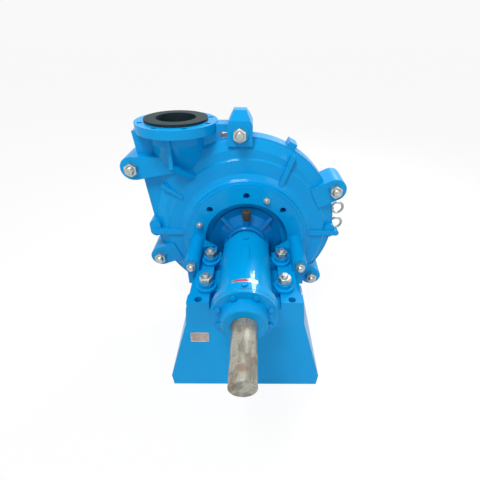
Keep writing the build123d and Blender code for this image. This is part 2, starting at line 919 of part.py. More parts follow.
def packing_rings():
    rings = []
    y = packing_start()
    for index in range(packing_count):
        if index == 1:
            y = y + lantern_length
        rings.append(tube(packing_radius, sleeve_radius + seat_gap, y + small_gap, y + packing_size - small_gap))
        y = y + packing_size
    return joined(rings)


def lantern_ring():
    front = lantern_front()
    groove = packing_size / 4
    ring = turned([
        (sleeve_radius + seat_gap, front),
        (packing_radius, front),
        (packing_radius, front + groove),
        (packing_radius - groove, front + groove),
        (packing_radius - groove, front + lantern_length - groove),
        (packing_radius, front + lantern_length - groove),
        (packing_radius, front + lantern_length),
        (sleeve_radius + seat_gap, front + lantern_length),
    ])
    return ring


def gland_halves():
    outline = Circle(gland_radius - box_flange * 2) + SlotOverall(2 * (gland_stud_x + 2 * gland_stud_radius),
                                                                  4 * gland_stud_radius)
    flange = slab(Pos(0, shaft_height) * outline, gland_flange_front, gland_flange_front + gland_flange)
    follower = rod(packing_radius - small_gap, gland_flange_front, packing_start() - small_gap)
    body = flange + follower - rod(sleeve_radius + seat_gap, gland_flange_front - cut_over, split_y)
    for side in (-1, 1):
        body = body - rod(gland_stud_radius + slide_gap, gland_flange_front - cut_over, box_front,
                          side * gland_stud_x)
    reach = 2 * gland_radius
    upper = body & block(-reach, reach, 0, split_y, shaft_height + small_gap, shaft_height + reach)
    lower = body & block(-reach, reach, 0, split_y, shaft_height - reach, shaft_height - small_gap)
    return joined([upper, lower])


def gland_studs():
    front = gland_flange_front - gland_back_off - gland_stud_radius * 2
    return joined([rod(gland_stud_radius, front, box_front + 2 * box_flange, side * gland_stud_x)
                   for side in (-1, 1)])


def gland_nuts():
    return joined([nut(gland_stud_radius * 3, gland_stud_radius + small_gap,
                       gland_flange_front - gland_stud_radius * 1.2, gland_flange_front, side * gland_stud_x)
                   for side in (-1, 1)])


def grease_cup_body():
    boss_top = shaft_height + box_radius + 2 * box_flange
    thread_top = cup_top - cup_height * 3 / 5
    stem = column(stem_radius(), shaft_height + packing_radius + 2 * fit_gap, thread_top, 0, cup_y)
    hexagon = Pos(0, cup_y, boss_top) * extrude(
        RegularPolygon(stem_radius() * 1.6, 6, major_radius=False), (cup_top - cup_height - boss_top) / 2)
    bowl = column(cup_radius - 3 * slide_gap, (boss_top + cup_top - cup_height) / 2 + slide_gap, thread_top, 0, cup_y)
    bowl = bowl - column(cup_radius - 6 * slide_gap, cup_top - cup_height, cup_top, 0, cup_y)
    return stem + hexagon + bowl


def grease_cup_cap():
    cap = column(cup_radius, cup_top - cup_height, cup_top, 0, cup_y)
    cap = fillet(cap.edges().filter_by(GeomType.CIRCLE).sort_by(Axis.Z)[-1], cup_radius / 4)
    cap = cap - column(cup_radius - cup_wall, cup_top - cup_height - cut_over, cup_top - cup_height / 4, 0, cup_y)
    return cap


# Bearing assembly
def bearing_housing():
    body = turned([
        (0, housing_front),
        (housing_flange_radius, housing_front),
        (housing_flange_radius, housing_front + housing_flange),
        (housing_radius, housing_front + housing_flange + housing_flange_radius - housing_radius),
        (housing_radius, housing_back),
        (0, housing_back),
    ])
    for y in (clamp_front, clamp_rear):
        lug = block(-side_lug_half, side_lug_half, y - side_lug_ahead, y - side_lug_ahead + side_lug_length,
                    rail_top - side_lug_depth, rail_top)
        body = body + (lug - rod(housing_radius + slide_gap, housing_back, nose_rear))
    screw_z = shaft_height - screw_drop
    lug = block(-screw_slot_half / 2, screw_slot_half / 2, screw_lug_front(), screw_back(),
                screw_z - screw_radius * 1.8, shaft_height - housing_radius + screw_radius)
    body = body + lug
    pad_top = shaft_height + housing_radius + slide_gap * 3
    pad = block(-housing_pad_half, housing_pad_half, clamp_front + housing_flange / 2, clamp_rear - 2 * housing_flange,
                shaft_height, pad_top)
    body = body + pad
    bore_end = bearing_inset + bearing_width
    body = body - rod(bearing_outer + small_gap, housing_front - cut_over, housing_front + bore_end)
    body = body - rod(bearing_outer + small_gap, housing_back - bore_end, housing_back + cut_over)
    body = body - rod(bearing_outer - case_wall / 2, housing_front, housing_back)
    body = body - rod(screw_radius + small_gap, screw_lug_front() - cut_over, screw_back() + cut_over, 0, screw_z)
    for x, z in around(cover_screws, cover_pcd_radius, 180 / cover_screws):
        body = body - rod(cover_screw_radius + small_gap, housing_front - cut_over,
                          housing_front + housing_flange * 2 / 3, x, z)
    for x, z in around(cover_screws, rear_screw_pcd_radius, 180 / cover_screws):
        body = body - rod(cover_screw_radius - slide_gap, housing_back - housing_flange * 2 / 3,
                          housing_back + cut_over, x, z)
    for y in plug_stations():
        body = body - column(cover_screw_radius + small_gap, shaft_height, shaft_height + housing_flange_radius * 2,
                             0, y)
    return body


def plug_stations():
    return housing_front + housing_flange / 2, housing_back - housing_flange


def housing_plugs():
    heights = (housing_flange_radius, housing_radius)
    plugs = []
    for y, height in zip(plug_stations(), heights):
        top = shaft_height + height
        stem = column(cover_screw_radius, top - 2 * cover_screw_radius, top + cover_screw_radius, 0, y)
        head = Pos(0, y, top + cover_screw_radius / 3) * extrude(
            RegularPolygon(cover_screw_radius * 1.5, 6, major_radius=False), cover_screw_radius * 2 / 3)
        plugs.append(stem + head)
    return joined(plugs)


def drive_end_cover():
    back = cover_front + cover_thickness
    body = turned([
        (0, nose_front),
        (nose_radius - cover_screw_radius, nose_front),
        (nose_radius, nose_front + cover_screw_radius),
        (nose_root_radius, cover_front),
        (housing_flange_radius - slide_gap * 2, cover_front),
        (housing_flange_radius - slide_gap * 2, back),
        (0, back),
    ])
    body = body + rod(bearing_outer - fit_gap, back, housing_front + bearing_inset - small_gap)
    body = body - rod(labyrinth_radius + seat_gap, nose_front + cover_thickness / 2, split_y)
    body = body - rod(labyrinth_seat + 2 * slide_gap, nose_front - cut_over, split_y)
    for x, z in around(cover_screws, cover_pcd_radius, 180 / cover_screws):
        body = body - rod(cover_screw_radius + fit_gap, nose_front, back + cut_over, x, z)
    return body


def pump_end_cover():
    body = turned([
        (0, rear_cover_front),
        (housing_radius - slide_gap * 2, rear_cover_front),
        (housing_radius - slide_gap * 2, rear_cover_front + cover_thickness - cover_screw_radius / 2),
        (housing_radius - cover_screw_radius / 2, rear_cover_front + cover_thickness),
        (rear_nose_radius + cover_screw_radius, rear_cover_front + cover_thickness),
        (rear_nose_radius, rear_cover_front + cover_thickness + cover_screw_radius),
        (rear_nose_radius, nose_rear),
        (0, nose_rear),
    ])
    body = body + rod(bearing_outer - fit_gap, housing_back - bearing_inset + small_gap, rear_cover_front)
    body = body - rod(rear_nose_radius - cover_screw_radius + seat_gap, 0, nose_rear - cover_screw_radius)
    body = body - rod(sleeve_radius + slide_gap, 0, nose_rear + cut_over)
    for x, z in around(cover_screws, rear_screw_pcd_radius, 180 / cover_screws):
        body = body - rod(cover_screw_radius + fit_gap, 0, nose_rear, x, z)
    return body


def shims():
    front = tube(housing_flange_radius - slide_gap * 2, bearing_outer + slide_gap,
                 cover_front + cover_thickness, housing_front)
    rear = tube(housing_radius - slide_gap * 2, bearing_outer + slide_gap, housing_back, rear_cover_front)
    for x, z in around(cover_screws, cover_pcd_radius, 180 / cover_screws):
        front = front - rod(cover_screw_radius + fit_gap, nose_front, split_y, x, z)
    for x, z in around(cover_screws, rear_screw_pcd_radius, 180 / cover_screws):
        rear = rear - rod(cover_screw_radius + fit_gap, 0, split_y, x, z)
    return joined([front, rear])


def drive_cover_screws():
    screws = []
    for x, z in around(cover_screws, cover_pcd_radius, 180 / cover_screws):
        head = slab(Pos(x, z) * RegularPolygon(cover_screw_radius * 1.6, 6, major_radius=False),
                    cover_front - cover_screw_radius, cover_front)
        shank = rod(cover_screw_radius, cover_front, housing_front + housing_flange / 2, x, z)
        screws.append(head + shank)
    return joined(screws)


def pump_cover_screws():
    face = rear_cover_front + cover_thickness
    screws = []
    for x, z in around(cover_screws, rear_screw_pcd_radius, 180 / cover_screws):
        head = slab(Pos(x, z) * RegularPolygon(cover_screw_radius * 1.2, 6, major_radius=False),
                    face, face + cover_screw_radius)
        shank = rod(cover_screw_radius - 2 * slide_gap, housing_back - housing_flange / 2, face, x, z)
        screws.append(head + shank)
    return joined(screws)


def race_radius(angle, station, apex):
    return abs(station - apex) * math.tan(math.radians(angle))


def bearing(front, faces_front):
    """Cup, cone, rollers and cage of a taper roller bearing, its wide end towards one side."""
    axis_angle = inner_race_angle + roller_half_angle
    reach = roller_pitch_radius / math.tan(math.radians(axis_angle))
    middle = front + bearing_width / 2
    direction = -1 if faces_front else 1
    apex = middle - direction * reach
    low = front
    high = front + bearing_width
    outer_angle = axis_angle + roller_half_angle
    lift = small_gap / math.cos(math.radians(outer_angle))
    cup = turned([
        (race_radius(outer_angle, low, apex) + lift, low),
        (bearing_outer, low),
        (bearing_outer, high),
        (race_radius(outer_angle, high, apex) + lift, high),
    ])
    cone = turned([
        (bearing_bore + small_gap, low),
        (race_radius(inner_race_angle, low, apex) - lift, low),
        (race_radius(inner_race_angle, high, apex) - lift, high),
        (bearing_bore + small_gap, high),
    ])
    slope = math.tan(math.radians(roller_half_angle))
    mid_reach = reach / math.cos(math.radians(axis_angle))
    near = mid_reach - roller_length / 2
    far = mid_reach + roller_length / 2
    profile = polygon([(0, near), (near * slope, near), (far * slope, far), (0, far)])
    roller = revolve(profile, Axis.Y)
    if direction < 0:
        roller = mirror(roller, about=Plane.XZ)
    rollers = []
    grown = polygon([(0, near - slide_gap), (near * slope + small_gap, near - slide_gap),
                     (far * slope + small_gap, far + slide_gap), (0, far + slide_gap)])
    pocket = revolve(grown, Axis.Y)
    if direction < 0:
        pocket = mirror(pocket, about=Plane.XZ)
    tilt = Rot(0, 0, -direction * axis_angle)
    pockets = []
    for index in range(roller_count):
        place = Pos(0, apex, shaft_height) * Rot(0, index * 360 / roller_count, 0) * tilt
        rollers.append(place * roller)
        pockets.append(place * pocket)
    cage_wall = roller_half_angle / 2
    cage_low = middle - roller_length / 2 - 4 * slide_gap
    cage_high = middle + roller_length / 2 + 4 * slide_gap
    cage = turned([
        (race_radius(axis_angle, cage_low, apex), cage_low),
        (race_radius(axis_angle + cage_wall, cage_low, apex), cage_low),
        (race_radius(axis_angle + cage_wall, cage_high, apex), cage_high),
        (race_radius(axis_angle, cage_high, apex), cage_high),
    ])
    for pocket_shape in pockets:
        cage = cage - pocket_shape
    return cup, cone, joined(rollers), cage


def clamp_washers():
    washers = []
    for side in (-1, 1):
        for y in (clamp_front, clamp_rear):
            disc = column(clamp_washer_radius, rail_top, rail_top + clamp_washer_rim, side * clamp_x, y)
            disc = chamfer(disc.edges().filter_by(GeomType.CIRCLE).sort_by(Axis.Z)[-1], clamp_washer_rim / 6)
            hub = column(clamp_hub_radius, rail_top, rail_top + clamp_washer_thickness, side * clamp_x, y)
            washers.append(disc + hub - column(clamp_bolt_radius + fit_gap, rail_top - cut_over,
                                         rail_top + 2 * clamp_washer_thickness, side * clamp_x, y))
    return joined(washers)


def clamp_bolts():
    top = rail_top + clamp_washer_thickness + clamp_nut_height + clamp_bolt_radius
    low = rail_top - rail_depth
    bolts = []
    for side in (-1, 1):
        for y in (clamp_front, clamp_rear):
            shank = column(clamp_bolt_radius, low, top, side * clamp_x, y)
            head = Pos(side * clamp_x, y, low - clamp_bolt_radius) * extrude(
                RegularPolygon(clamp_nut_flats / 2, 6, major_radius=False), clamp_bolt_radius)
            bolts.append(shank + head)
    return joined(bolts)


def clamp_nuts():
    low = rail_top + clamp_washer_thickness
    return joined([upright_nut(clamp_nut_flats, clamp_bolt_radius + small_gap, low, low + clamp_nut_height,
                               side * clamp_x, y)
                   for side in (-1, 1) for y in (clamp_front, clamp_rear)])


def adjusting_screw():
    return rod(screw_radius, screw_front(), screw_back(), 0, shaft_height - screw_drop)


def adjusting_nuts():
    z = shaft_height - screw_drop
    front = screw_web_y - screw_web / 2
    back = screw_web_y + screw_web / 2
    return joined([
        nut(adjust_nut_flats, screw_radius + seat_gap, front - adjust_nut, front, 0, z),
        nut(adjust_nut_flats, screw_radius + seat_gap, back, back + adjust_nut, 0, z),
    ])


# Rotating parts
def stations():
    """Ends of the two bearings and of the seats on the shaft."""
    drive_bearing = housing_front + bearing_inset
    pump_bearing = housing_back - bearing_inset - bearing_width
    return drive_bearing, pump_bearing


def shaft():
    drive_bearing, pump_bearing = stations()
    hub_start = split_y - hub_wet_half + impeller_side_gap
    body = turned([
        (0, shaft_end),
        (shaft_radius - slide_gap * 4, shaft_end),
        (shaft_radius, shaft_end + slide_gap * 4),
        (shaft_radius, nose_front),
        (labyrinth_seat, nose_front),
        (labyrinth_seat, drive_bearing - bearing_width / 2),
        (bearing_bore, drive_bearing - bearing_width / 2),
        (bearing_bore, drive_bearing + bearing_width),
        (shaft_middle, drive_bearing + bearing_width),
        (shaft_middle, pump_bearing),
        (bearing_bore, pump_bearing),
        (bearing_bore, spacer_start),
        (sleeve_seat_radius, spacer_start),
        (sleeve_seat_radius, hub_start),
        (thread_radius, hub_start),
        (thread_radius, hub_start + hub_radius),
        (0, hub_start + hub_radius),
    ])
    return body - keyway()


def keyway():
    """Key slot low on one side of the drive end."""
    outline = Rot(0, 0, 90) * SlotOverall(key_length, key_width)
    middle = shaft_end + key_length / 2 + key_width / 2
    slot = Pos(0, middle, -shaft_radius - cut_over) * extrude(outline, key_depth + cut_over)
    return Pos(0, 0, shaft_height) * Rot(0, -key_angle, 0) * slot


def labyrinth(front, back, inner, outer):
    groove = (back - front) / 5
    points = [(inner, front), (outer, front)]
    y = front
    for index in range(2):
        points.extend([(outer, y + groove), (outer - groove, y + groove),
                       (outer - groove, y + 2 * groove), (outer, y + 2 * groove)])
        y = y + 2 * groove
    points.extend([(outer, back), (inner, back)])
    return turned(points)


def drive_labyrinth():
    drive_bearing, pump_bearing = stations()
    return labyrinth(nose_front + cover_thickness / 2 + 2 * slide_gap, drive_bearing - bearing_width,
                     labyrinth_seat + small_gap, labyrinth_radius)


def locknut():
    drive_bearing, pump_bearing = stations()
    return tube(labyrinth_radius - cover_screw_radius, bearing_bore + small_gap,
                drive_bearing - bearing_width / 2, drive_bearing - small_gap)


def pump_labyrinth():
    drive_bearing, pump_bearing = stations()
    seat = pump_bearing + bearing_width
    return labyrinth(seat + slide_gap, nose_rear - cover_screw_radius - 2 * slide_gap,
                     bearing_bore + small_gap, rear_nose_radius - cover_screw_radius)


def shaft_spacer():
    return tube(sleeve_radius, sleeve_seat_radius + small_gap, spacer_start, sleeve_start)


def shaft_sleeve():
    return tube(sleeve_radius, sleeve_seat_radius + small_gap, sleeve_start + cover_screw_radius,
                hub_front)


def shaft_o_ring():
    wire = cover_screw_radius / 2
    return Pos(0, sleeve_start + wire, shaft_height) * Rot(90, 0, 0) * Torus(sleeve_seat_radius + wire + small_gap, wire)


def impeller():
    front = split_y - hub_wet_half + impeller_side_gap
    back = split_y + hub_wet_half - impeller_throat_gap
    plate_front = front + expeller_height
    plate_back = back - expeller_height
    hub = turned([
        (0, hub_front),
        (hub_radius, hub_front),
        (hub_radius, plate_front),
        (impeller_radius, plate_front),
        (impeller_radius, plate_front + shroud),
        (hub_radius + shroud, plate_front + shroud),
        (hub_radius / 2, plate_front + 3 * shroud),
        (0, plate_front + 3 * shroud),
    ])
    eye_shroud = tube(impeller_radius, impeller_eye, plate_back - shroud, plate_back)
    body = hub + eye_shroud
    mean = (impeller_radius + impeller_eye) / 2
    for index in range(vane_count):
        turn = index * 360 / vane_count
        vane = vane_outline(impeller_eye - shroud, impeller_radius, vane_thickness)
        outline = Pos(0, shaft_height) * Rot(0, 0, turn) * vane
        body = body + slab(outline, plate_front + shroud / 2, plate_back - shroud / 2)
        rib = vane_outline(impeller_eye + shroud, impeller_radius - shroud / 2, shroud)
        rib_outline = Pos(0, shaft_height) * Rot(0, 0, turn) * rib
        body = body + slab(rib_outline, plate_back - shroud / 2, back)
        body = body + slab(rib_outline, front, plate_front + shroud / 2)
    body = body & rod(impeller_radius, front - hub_wet_half, back)
    body = body - rod(thread_radius + small_gap, front, front + hub_radius + small_gap)
    body = body - rod(sleeve_seat_radius + small_gap, front - hub_wet_half, front + small_gap)
    return body


def vane_outline(inner, outer, thickness):
    """Curved vane that trails the clockwise turn, from the eye to the rim."""
    sweep = math.radians(vane_sweep)
    line = []
    for share in (0, 1 / 2, 1):
        radius = inner + (outer - inner) * share
        angle = sweep * share
        line.append((radius * math.cos(angle), radius * math.sin(angle)))
    return trace(ThreePointArc(*line), thickness)


# Small things
def apron_place(x, z):
    """Place on the leaning face of the apron."""
    half = base_length / 2
    lean = math.degrees(math.atan2(half + rail_front, apron_break))
    y = -half + (half + rail_front) * z / apron_break
    return Pos(x, y, z) * Rot(-lean, 0, 0)


def nameplate_place():
    return apron_place(-top_half_width + plate_width / 2, (apron_break + plate_height * 9 / 2) / 2)


def nameplate():
    plate = Pos(0, -plate_thickness / 2, 0) * Box(plate_width, plate_thickness, plate_height)
    plate = fillet(plate.edges().filter_by(Axis.Y), 2 * rivet_radius)
    for side in (-1, 1):
        plate = plate - Pos(side * (plate_width / 2 - 2 * rivet_radius), 0, 0) * Rot(90, 0, 0) * Cylinder(
            rivet_radius / 2, 4 * plate_thickness)
    return nameplate_place() * plate


def nameplate_rivets():
    rivets = []
    for side in (-1, 1):
        head = Pos(side * (plate_width / 2 - 2 * rivet_radius), -plate_thickness * 3 / 2, 0) * Rot(90, 0, 0) * \
            Cylinder(rivet_radius, plate_thickness)
        rivets.append(nameplate_place() * head)
    return joined(rivets)


def direction_plate():
    front = direction_plate_front
    back = front + direction_plate_length
    plate = tube(housing_radius + plate_thickness, housing_radius, front, back)
    half = housing_radius * math.sin(math.radians(plate_half_angle))
    return plate & block(-half, half, front, back, shaft_height, shaft_height + 2 * housing_radius)


def grease_retainers():
    drive_bearing, pump_bearing = stations()
    outer = bearing_outer - case_wall / 2 - small_gap
    inner = shaft_middle + 2 * slide_gap
    return joined([
        tube(outer, inner, drive_bearing + bearing_width, drive_bearing + bearing_width + rivet_radius),
        tube(outer, inner, pump_bearing - rivet_radius, pump_bearing),
    ])


drive_start, pump_start = stations()
drive_cup, drive_cone, drive_rollers, drive_cage = bearing(drive_start, True)
pump_cup, pump_cone, pump_rollers, pump_cage = bearing(pump_start, False)
stud_end = ring_back + case_wall / 2
ring_studs, ring_nuts = studs_with_nuts(ring_stud_radius, ring_stud_places(), ring_front, stud_end)
shoulder_places = [(-ring_holes_radius, shaft_height), (ring_holes_radius, shaft_height)]
shoulder_studs, shoulder_nuts = studs_with_nuts(shoulder_stud_radius, shoulder_places, shoulder_front, stud_end)

nodes = {
    "frame": frame(),
    "frame_plate": frame_plate(),
    "cover_plate": cover_plate(),
    "frame_plate_liner": liner(True),
    "cover_plate_liner": liner(False),
    "back_liner": back_liner(),
    "throatbush": throatbush(),
    "intake_joint": intake_joint(),
    "casing_bolts": casing_bolts(),
    "casing_nuts": casing_nuts(),
    "ring_studs": ring_studs,
    "ring_nuts": ring_nuts,
    "shoulder_studs": shoulder_studs,
    "shoulder_nuts": shoulder_nuts,
    "eye_bolts": eye_bolts(),
    "stuffing_box": stuffing_box(),
    "packing_rings": packing_rings(),
    "lantern_ring": lantern_ring(),
    "gland_halves": gland_halves(),
    "gland_studs": gland_studs(),
    "gland_nuts": gland_nuts(),
    "grease_cup_body": grease_cup_body(),
    "grease_cup_cap": grease_cup_cap(),
    "clamp_washers": clamp_washers(),
    "clamp_bolts": clamp_bolts(),
    "clamp_nuts": clamp_nuts(),
    "nameplate": nameplate(),
    "nameplate_rivets": nameplate_rivets(),
    "bearing_housing": bearing_housing(),
    "drive_end_cover": drive_end_cover(),
    "pump_end_cover": pump_end_cover(),
    "end_cover_shims": shims(),
    "drive_cover_screws": drive_cover_screws(),
    "pump_cover_screws": pump_cover_screws(),
    "grease_retainers": grease_retainers(),
    "housing_plugs": housing_plugs(),
    "direction_plate": direction_plate(),
    "adjusting_screw": adjusting_screw(),
    "adjusting_nuts": adjusting_nuts(),
    "drive_bearing_cup": drive_cup,
    "drive_bearing_cone": drive_cone,
    "drive_bearing_rollers": drive_rollers,
    "drive_bearing_cage": drive_cage,
    "pump_bearing_cup": pump_cup,
    "pump_bearing_cone": pump_cone,
    "pump_bearing_rollers": pump_rollers,
    "pump_bearing_cage": pump_cage,
    "shaft": shaft(),
    "drive_labyrinth": drive_labyrinth(),
    "pump_labyrinth": pump_labyrinth(),
    "bearing_locknut": locknut(),
    "shaft_spacer": shaft_spacer(),
    "shaft_sleeve": shaft_sleeve(),
    "shaft_o_ring": shaft_o_ring(),
    "impeller": impeller(),
}

os.makedirs("parts", exist_ok=True)
for name, shape in nodes.items():
    export_step(shape, os.path.join("parts", name + ".step"))
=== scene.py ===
"""Looks and small fittings of a slurry pump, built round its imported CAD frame.

Lengths are in metres, +Z is up and +Y points to the suction.
"""

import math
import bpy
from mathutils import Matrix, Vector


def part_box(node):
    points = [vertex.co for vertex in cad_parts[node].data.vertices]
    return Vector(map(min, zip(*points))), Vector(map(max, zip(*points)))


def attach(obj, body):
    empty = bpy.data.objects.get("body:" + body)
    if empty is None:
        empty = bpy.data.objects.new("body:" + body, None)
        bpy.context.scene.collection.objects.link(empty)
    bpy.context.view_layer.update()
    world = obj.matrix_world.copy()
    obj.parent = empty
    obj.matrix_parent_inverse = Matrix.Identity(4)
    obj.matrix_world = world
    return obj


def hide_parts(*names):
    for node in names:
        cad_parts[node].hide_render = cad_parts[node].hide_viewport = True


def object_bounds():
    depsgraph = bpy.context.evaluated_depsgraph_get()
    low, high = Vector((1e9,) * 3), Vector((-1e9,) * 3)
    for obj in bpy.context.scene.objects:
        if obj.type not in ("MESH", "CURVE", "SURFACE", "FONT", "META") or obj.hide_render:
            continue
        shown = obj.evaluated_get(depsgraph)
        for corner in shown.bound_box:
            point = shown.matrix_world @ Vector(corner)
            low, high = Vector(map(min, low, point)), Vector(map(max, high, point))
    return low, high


bl_info = {
    "name": "Slurry Pump Looks",
    "version": (1, 0, 0),
    "blender": (4, 5, 0),
    "location": "View3D > Sidebar > Pump",
    "description": "Paints the pump and builds its nuts, studs, grease cap, turning arrow and border",
    "category": "Object",
}

import bmesh
import bpy
from mathutils import Matrix, Vector

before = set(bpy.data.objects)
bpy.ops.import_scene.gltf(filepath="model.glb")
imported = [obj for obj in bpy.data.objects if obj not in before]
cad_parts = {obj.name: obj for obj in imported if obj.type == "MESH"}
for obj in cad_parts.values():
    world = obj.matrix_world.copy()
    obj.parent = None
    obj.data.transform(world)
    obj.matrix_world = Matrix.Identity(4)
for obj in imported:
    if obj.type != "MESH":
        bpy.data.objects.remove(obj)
cad_box = [list(corner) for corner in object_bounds()]

PAINTED = (
    "frame", "frame_plate", "cover_plate", "gland_halves", "clamp_washers", "bearing_housing",
    "drive_end_cover", "pump_end_cover", "drive_cover_screws", "pump_cover_screws", "housing_plugs",
)
RUBBERS = (
    "frame_plate_liner", "cover_plate_liner", "back_liner", "throatbush", "intake_joint", "shaft_o_ring",
)
PLATED = ("eye_bolts", "nameplate_rivets", "adjusting_screw", "adjusting_nuts", "gland_studs")
BEARINGS = (
    "drive_bearing_cup", "drive_bearing_cone", "drive_bearing_rollers", "drive_bearing_cage",
    "pump_bearing_cup", "pump_bearing_cone", "pump_bearing_rollers", "pump_bearing_cage",
)
TURNED = (
    "grease_retainers", "drive_labyrinth", "pump_labyrinth", "bearing_locknut", "shaft_spacer",
    "shaft_sleeve",
)

# Nuts: CAD node, axis it lies along, way it faces, body, bore radius
ALONG_Y = 1
ALONG_Z = 2
NUTS = (
    ("casing_nuts", ALONG_Y, -1, "frame", 0.01495),
    ("ring_nuts", ALONG_Y, -1, "frame", 0.00795),
    ("shoulder_nuts", ALONG_Y, -1, "frame", 0.01095),
    ("clamp_nuts", ALONG_Z, 1, "frame", 0.01195),
    ("gland_nuts", ALONG_Y, -1, "gland", 0.00795),
)
# Studs: CAD node, axis, way the thread points, threaded length in radii, head's flats and height
STUDS = (
    ("casing_bolts", ALONG_Y, -1, 2.9, (0.046, 0.0195)),
    ("ring_studs", ALONG_Y, -1, 2.9, None),
    ("shoulder_studs", ALONG_Y, -1, 2.9, None),
    ("clamp_bolts", ALONG_Z, 1, 3.4, (0.042, 0.012)),
)
# Half of the turning arrow's outline, tail to tip, along and across the plate
ARROW_HALF = (
    (-0.036, 0.0), (-0.020, 0.0034), (0.000, 0.0034), (0.000, 0.0062), (0.014, 0.0012), (0.032, 0.0006),
)
# Arrow: thickness, how far its underside clears the plate's facets, and points per side of the outline
ARROW_DEPTH = 0.0003
ARROW_LIFT = ARROW_DEPTH * 2 / 3
ARROW_STEPS = 4
# Grease cap: wall, heights as shares of the cap's height, and the crown as (radius, height) shares
CAP_WALL = 0.0012
FLUTE_LOW_SHARE = 0.08
FLUTE_HIGH_SHARE = 0.68
SHOULDER_SHARE = 0.77
CEILING_SHARE = 0.75
CROWN_SHARES = ((0.90, 0.86), (0.80, 0.935), (0.62, 0.985), (0.20, 1.0))
POINTS_PER_FLUTE = 6
# Nameplate border: gap to the plate's edge, distance of its foot from the plate's middle, height, corner
# radius, how much of the border's width the inner corner loses, and degrees between corner points
BORDER_MARGIN = 0.0004
BORDER_FOOT = 0.0004
BORDER_LIFT = 0.0008
BORDER_CORNER = 0.0046
BEND_SHARE = 0.7
BORDER_STEP = 15
# Mesh points this near each other are one point, and points this near a level lie on it
WELD = 1e-6
LEVEL_SLACK = 1e-4
# Decimals of a metre that put the solids of a node in order
ORDER_DIGITS = 4
# Widest angle between two faces that still looks smooth
SMOOTH_ANGLE = math.radians(32)
# Nuts: slope of the chamfer, turn from corner to corner, rim of the bore's countersink as a share of the
# bore, and points round the nut
CHAMFER_ANGLE = math.radians(30)
SIXTH_TURN = math.pi / 3
LIP_SHARE = 1.1
NUT_POINTS = 48
# Studs: how far the end is turned down and how long the thread takes to fade there, in thread depths,
# then points round the stud and rows of points per turn of the thread
END_DEPTHS = 1.2
FADE_DEPTHS = 2
STUD_POINTS = 24
ROWS_PER_TURN = 4
# Samples of the soft edge that a material draws
BEVEL_SAMPLES = 4
# Floor: gap below the pump, tone, and how much of it glows for the camera
FLOOR_DROP = 0.0005
FLOOR_GREY = 0.9
FLOOR_GLOW_SHARE = 0.9
# Lamps: name, place, target, width
KEY_LAMP = ("key_lamp", (-0.6, -1.2, 3.4), (0.0, 0.0, 0.4), 1.3)
BACK_LAMP = ("back_lamp", (1.1, 2.3, 2.3), (0.0, -0.1, 0.5), 0.7)
FRONT_LAMP = ("front_lamp", (1.6, -3.0, 1.8), (0.0, 0.0, 0.4), 1.4)
# Camera: place, then pitch down, yaw and roll in degrees, then the lens shift and sensor width
CAMERA_PLACE = (0.01694, -1.02675, 1.21503)
CAMERA_ANGLES = (35.87, 0.67, 0.81)
CAMERA_SHIFT = (-0.0275, 0.0284)
SENSOR_WIDTH = 36.0


class PumpSizes(bpy.types.PropertyGroup):
    """Sizes of the fittings that the CAD leaves plain."""

    edge_round: bpy.props.FloatProperty(
        name="Casting edge round", description="Radius of the soft edges on painted castings",
        default=0.0035, min=0.0, unit="LENGTH")
    thread_pitch: bpy.props.FloatProperty(
        name="Thread pitch share", description="Thread pitch as a share of the stud's radius",
        default=0.24, min=0.05)
    thread_depth: bpy.props.FloatProperty(
        name="Thread depth share", description="Thread depth as a share of the pitch",
        default=0.5, min=0.05)
    nut_chamfer: bpy.props.FloatProperty(
        name="Nut chamfer", description="Radius of a nut's round face as a share of half its flats",
        default=0.95, min=0.5, max=1.0)
    cap_flutes: bpy.props.IntProperty(
        name="Cup flutes", description="Grip flutes round the grease cup's cap", default=30, min=6)
    flute_depth: bpy.props.FloatProperty(
        name="Flute depth", description="Depth of the grease cup's grip flutes", default=0.0008, min=0.0,
        unit="LENGTH")
    border: bpy.props.FloatProperty(
        name="Plate border", description="Width of the raised border on the nameplate", default=0.0022,
        min=0.0, unit="LENGTH")


class PumpColours(bpy.types.PropertyGroup):
    """Colours of the pump's finishes."""

    enamel: bpy.props.FloatVectorProperty(
        name="Enamel", description="Blue paint on the castings", default=(0.0, 0.31, 0.68),
        subtype="COLOR", size=3, min=0.0, max=1.0)
    enamel_deep: bpy.props.FloatVectorProperty(
        name="Thick enamel", description="Blue where the paint has pooled", default=(0.0, 0.27, 0.62),
        subtype="COLOR", size=3, min=0.0, max=1.0)
    # Painted shade: a darker blue on the stuffing box that stands in for the shade inside the frame's recess
    painted_shade_blue: bpy.props.FloatVectorProperty(
        name="Recess enamel", description="Thin, darker blue on the stuffing box", default=(0.0, 0.17, 0.47),
        subtype="COLOR", size=3, min=0.0, max=1.0)
    rubber: bpy.props.FloatVectorProperty(
        name="Rubber", description="Moulded liner rubber", default=(0.006, 0.020, 0.026),
        subtype="COLOR", size=3, min=0.0, max=1.0)
    zinc: bpy.props.FloatVectorProperty(
        name="Zinc", description="Plating on nuts and studs", default=(0.62, 0.65, 0.60),
        subtype="COLOR", size=3, min=0.0, max=1.0)
    steel: bpy.props.FloatVectorProperty(
        name="Shaft steel", description="Turned steel of the shaft", default=(0.38, 0.37, 0.31),
        subtype="COLOR", size=3, min=0.0, max=1.0)
    rust: bpy.props.FloatVectorProperty(
        name="Rust", description="Brown blotches on the shaft", default=(0.15, 0.095, 0.052),
        subtype="COLOR", size=3, min=0.0, max=1.0)
    arrow: bpy.props.FloatVectorProperty(
        name="Arrow red", description="Turning arrow on its plate", default=(0.62, 0.03, 0.03),
        subtype="COLOR", size=3, min=0.0, max=1.0)


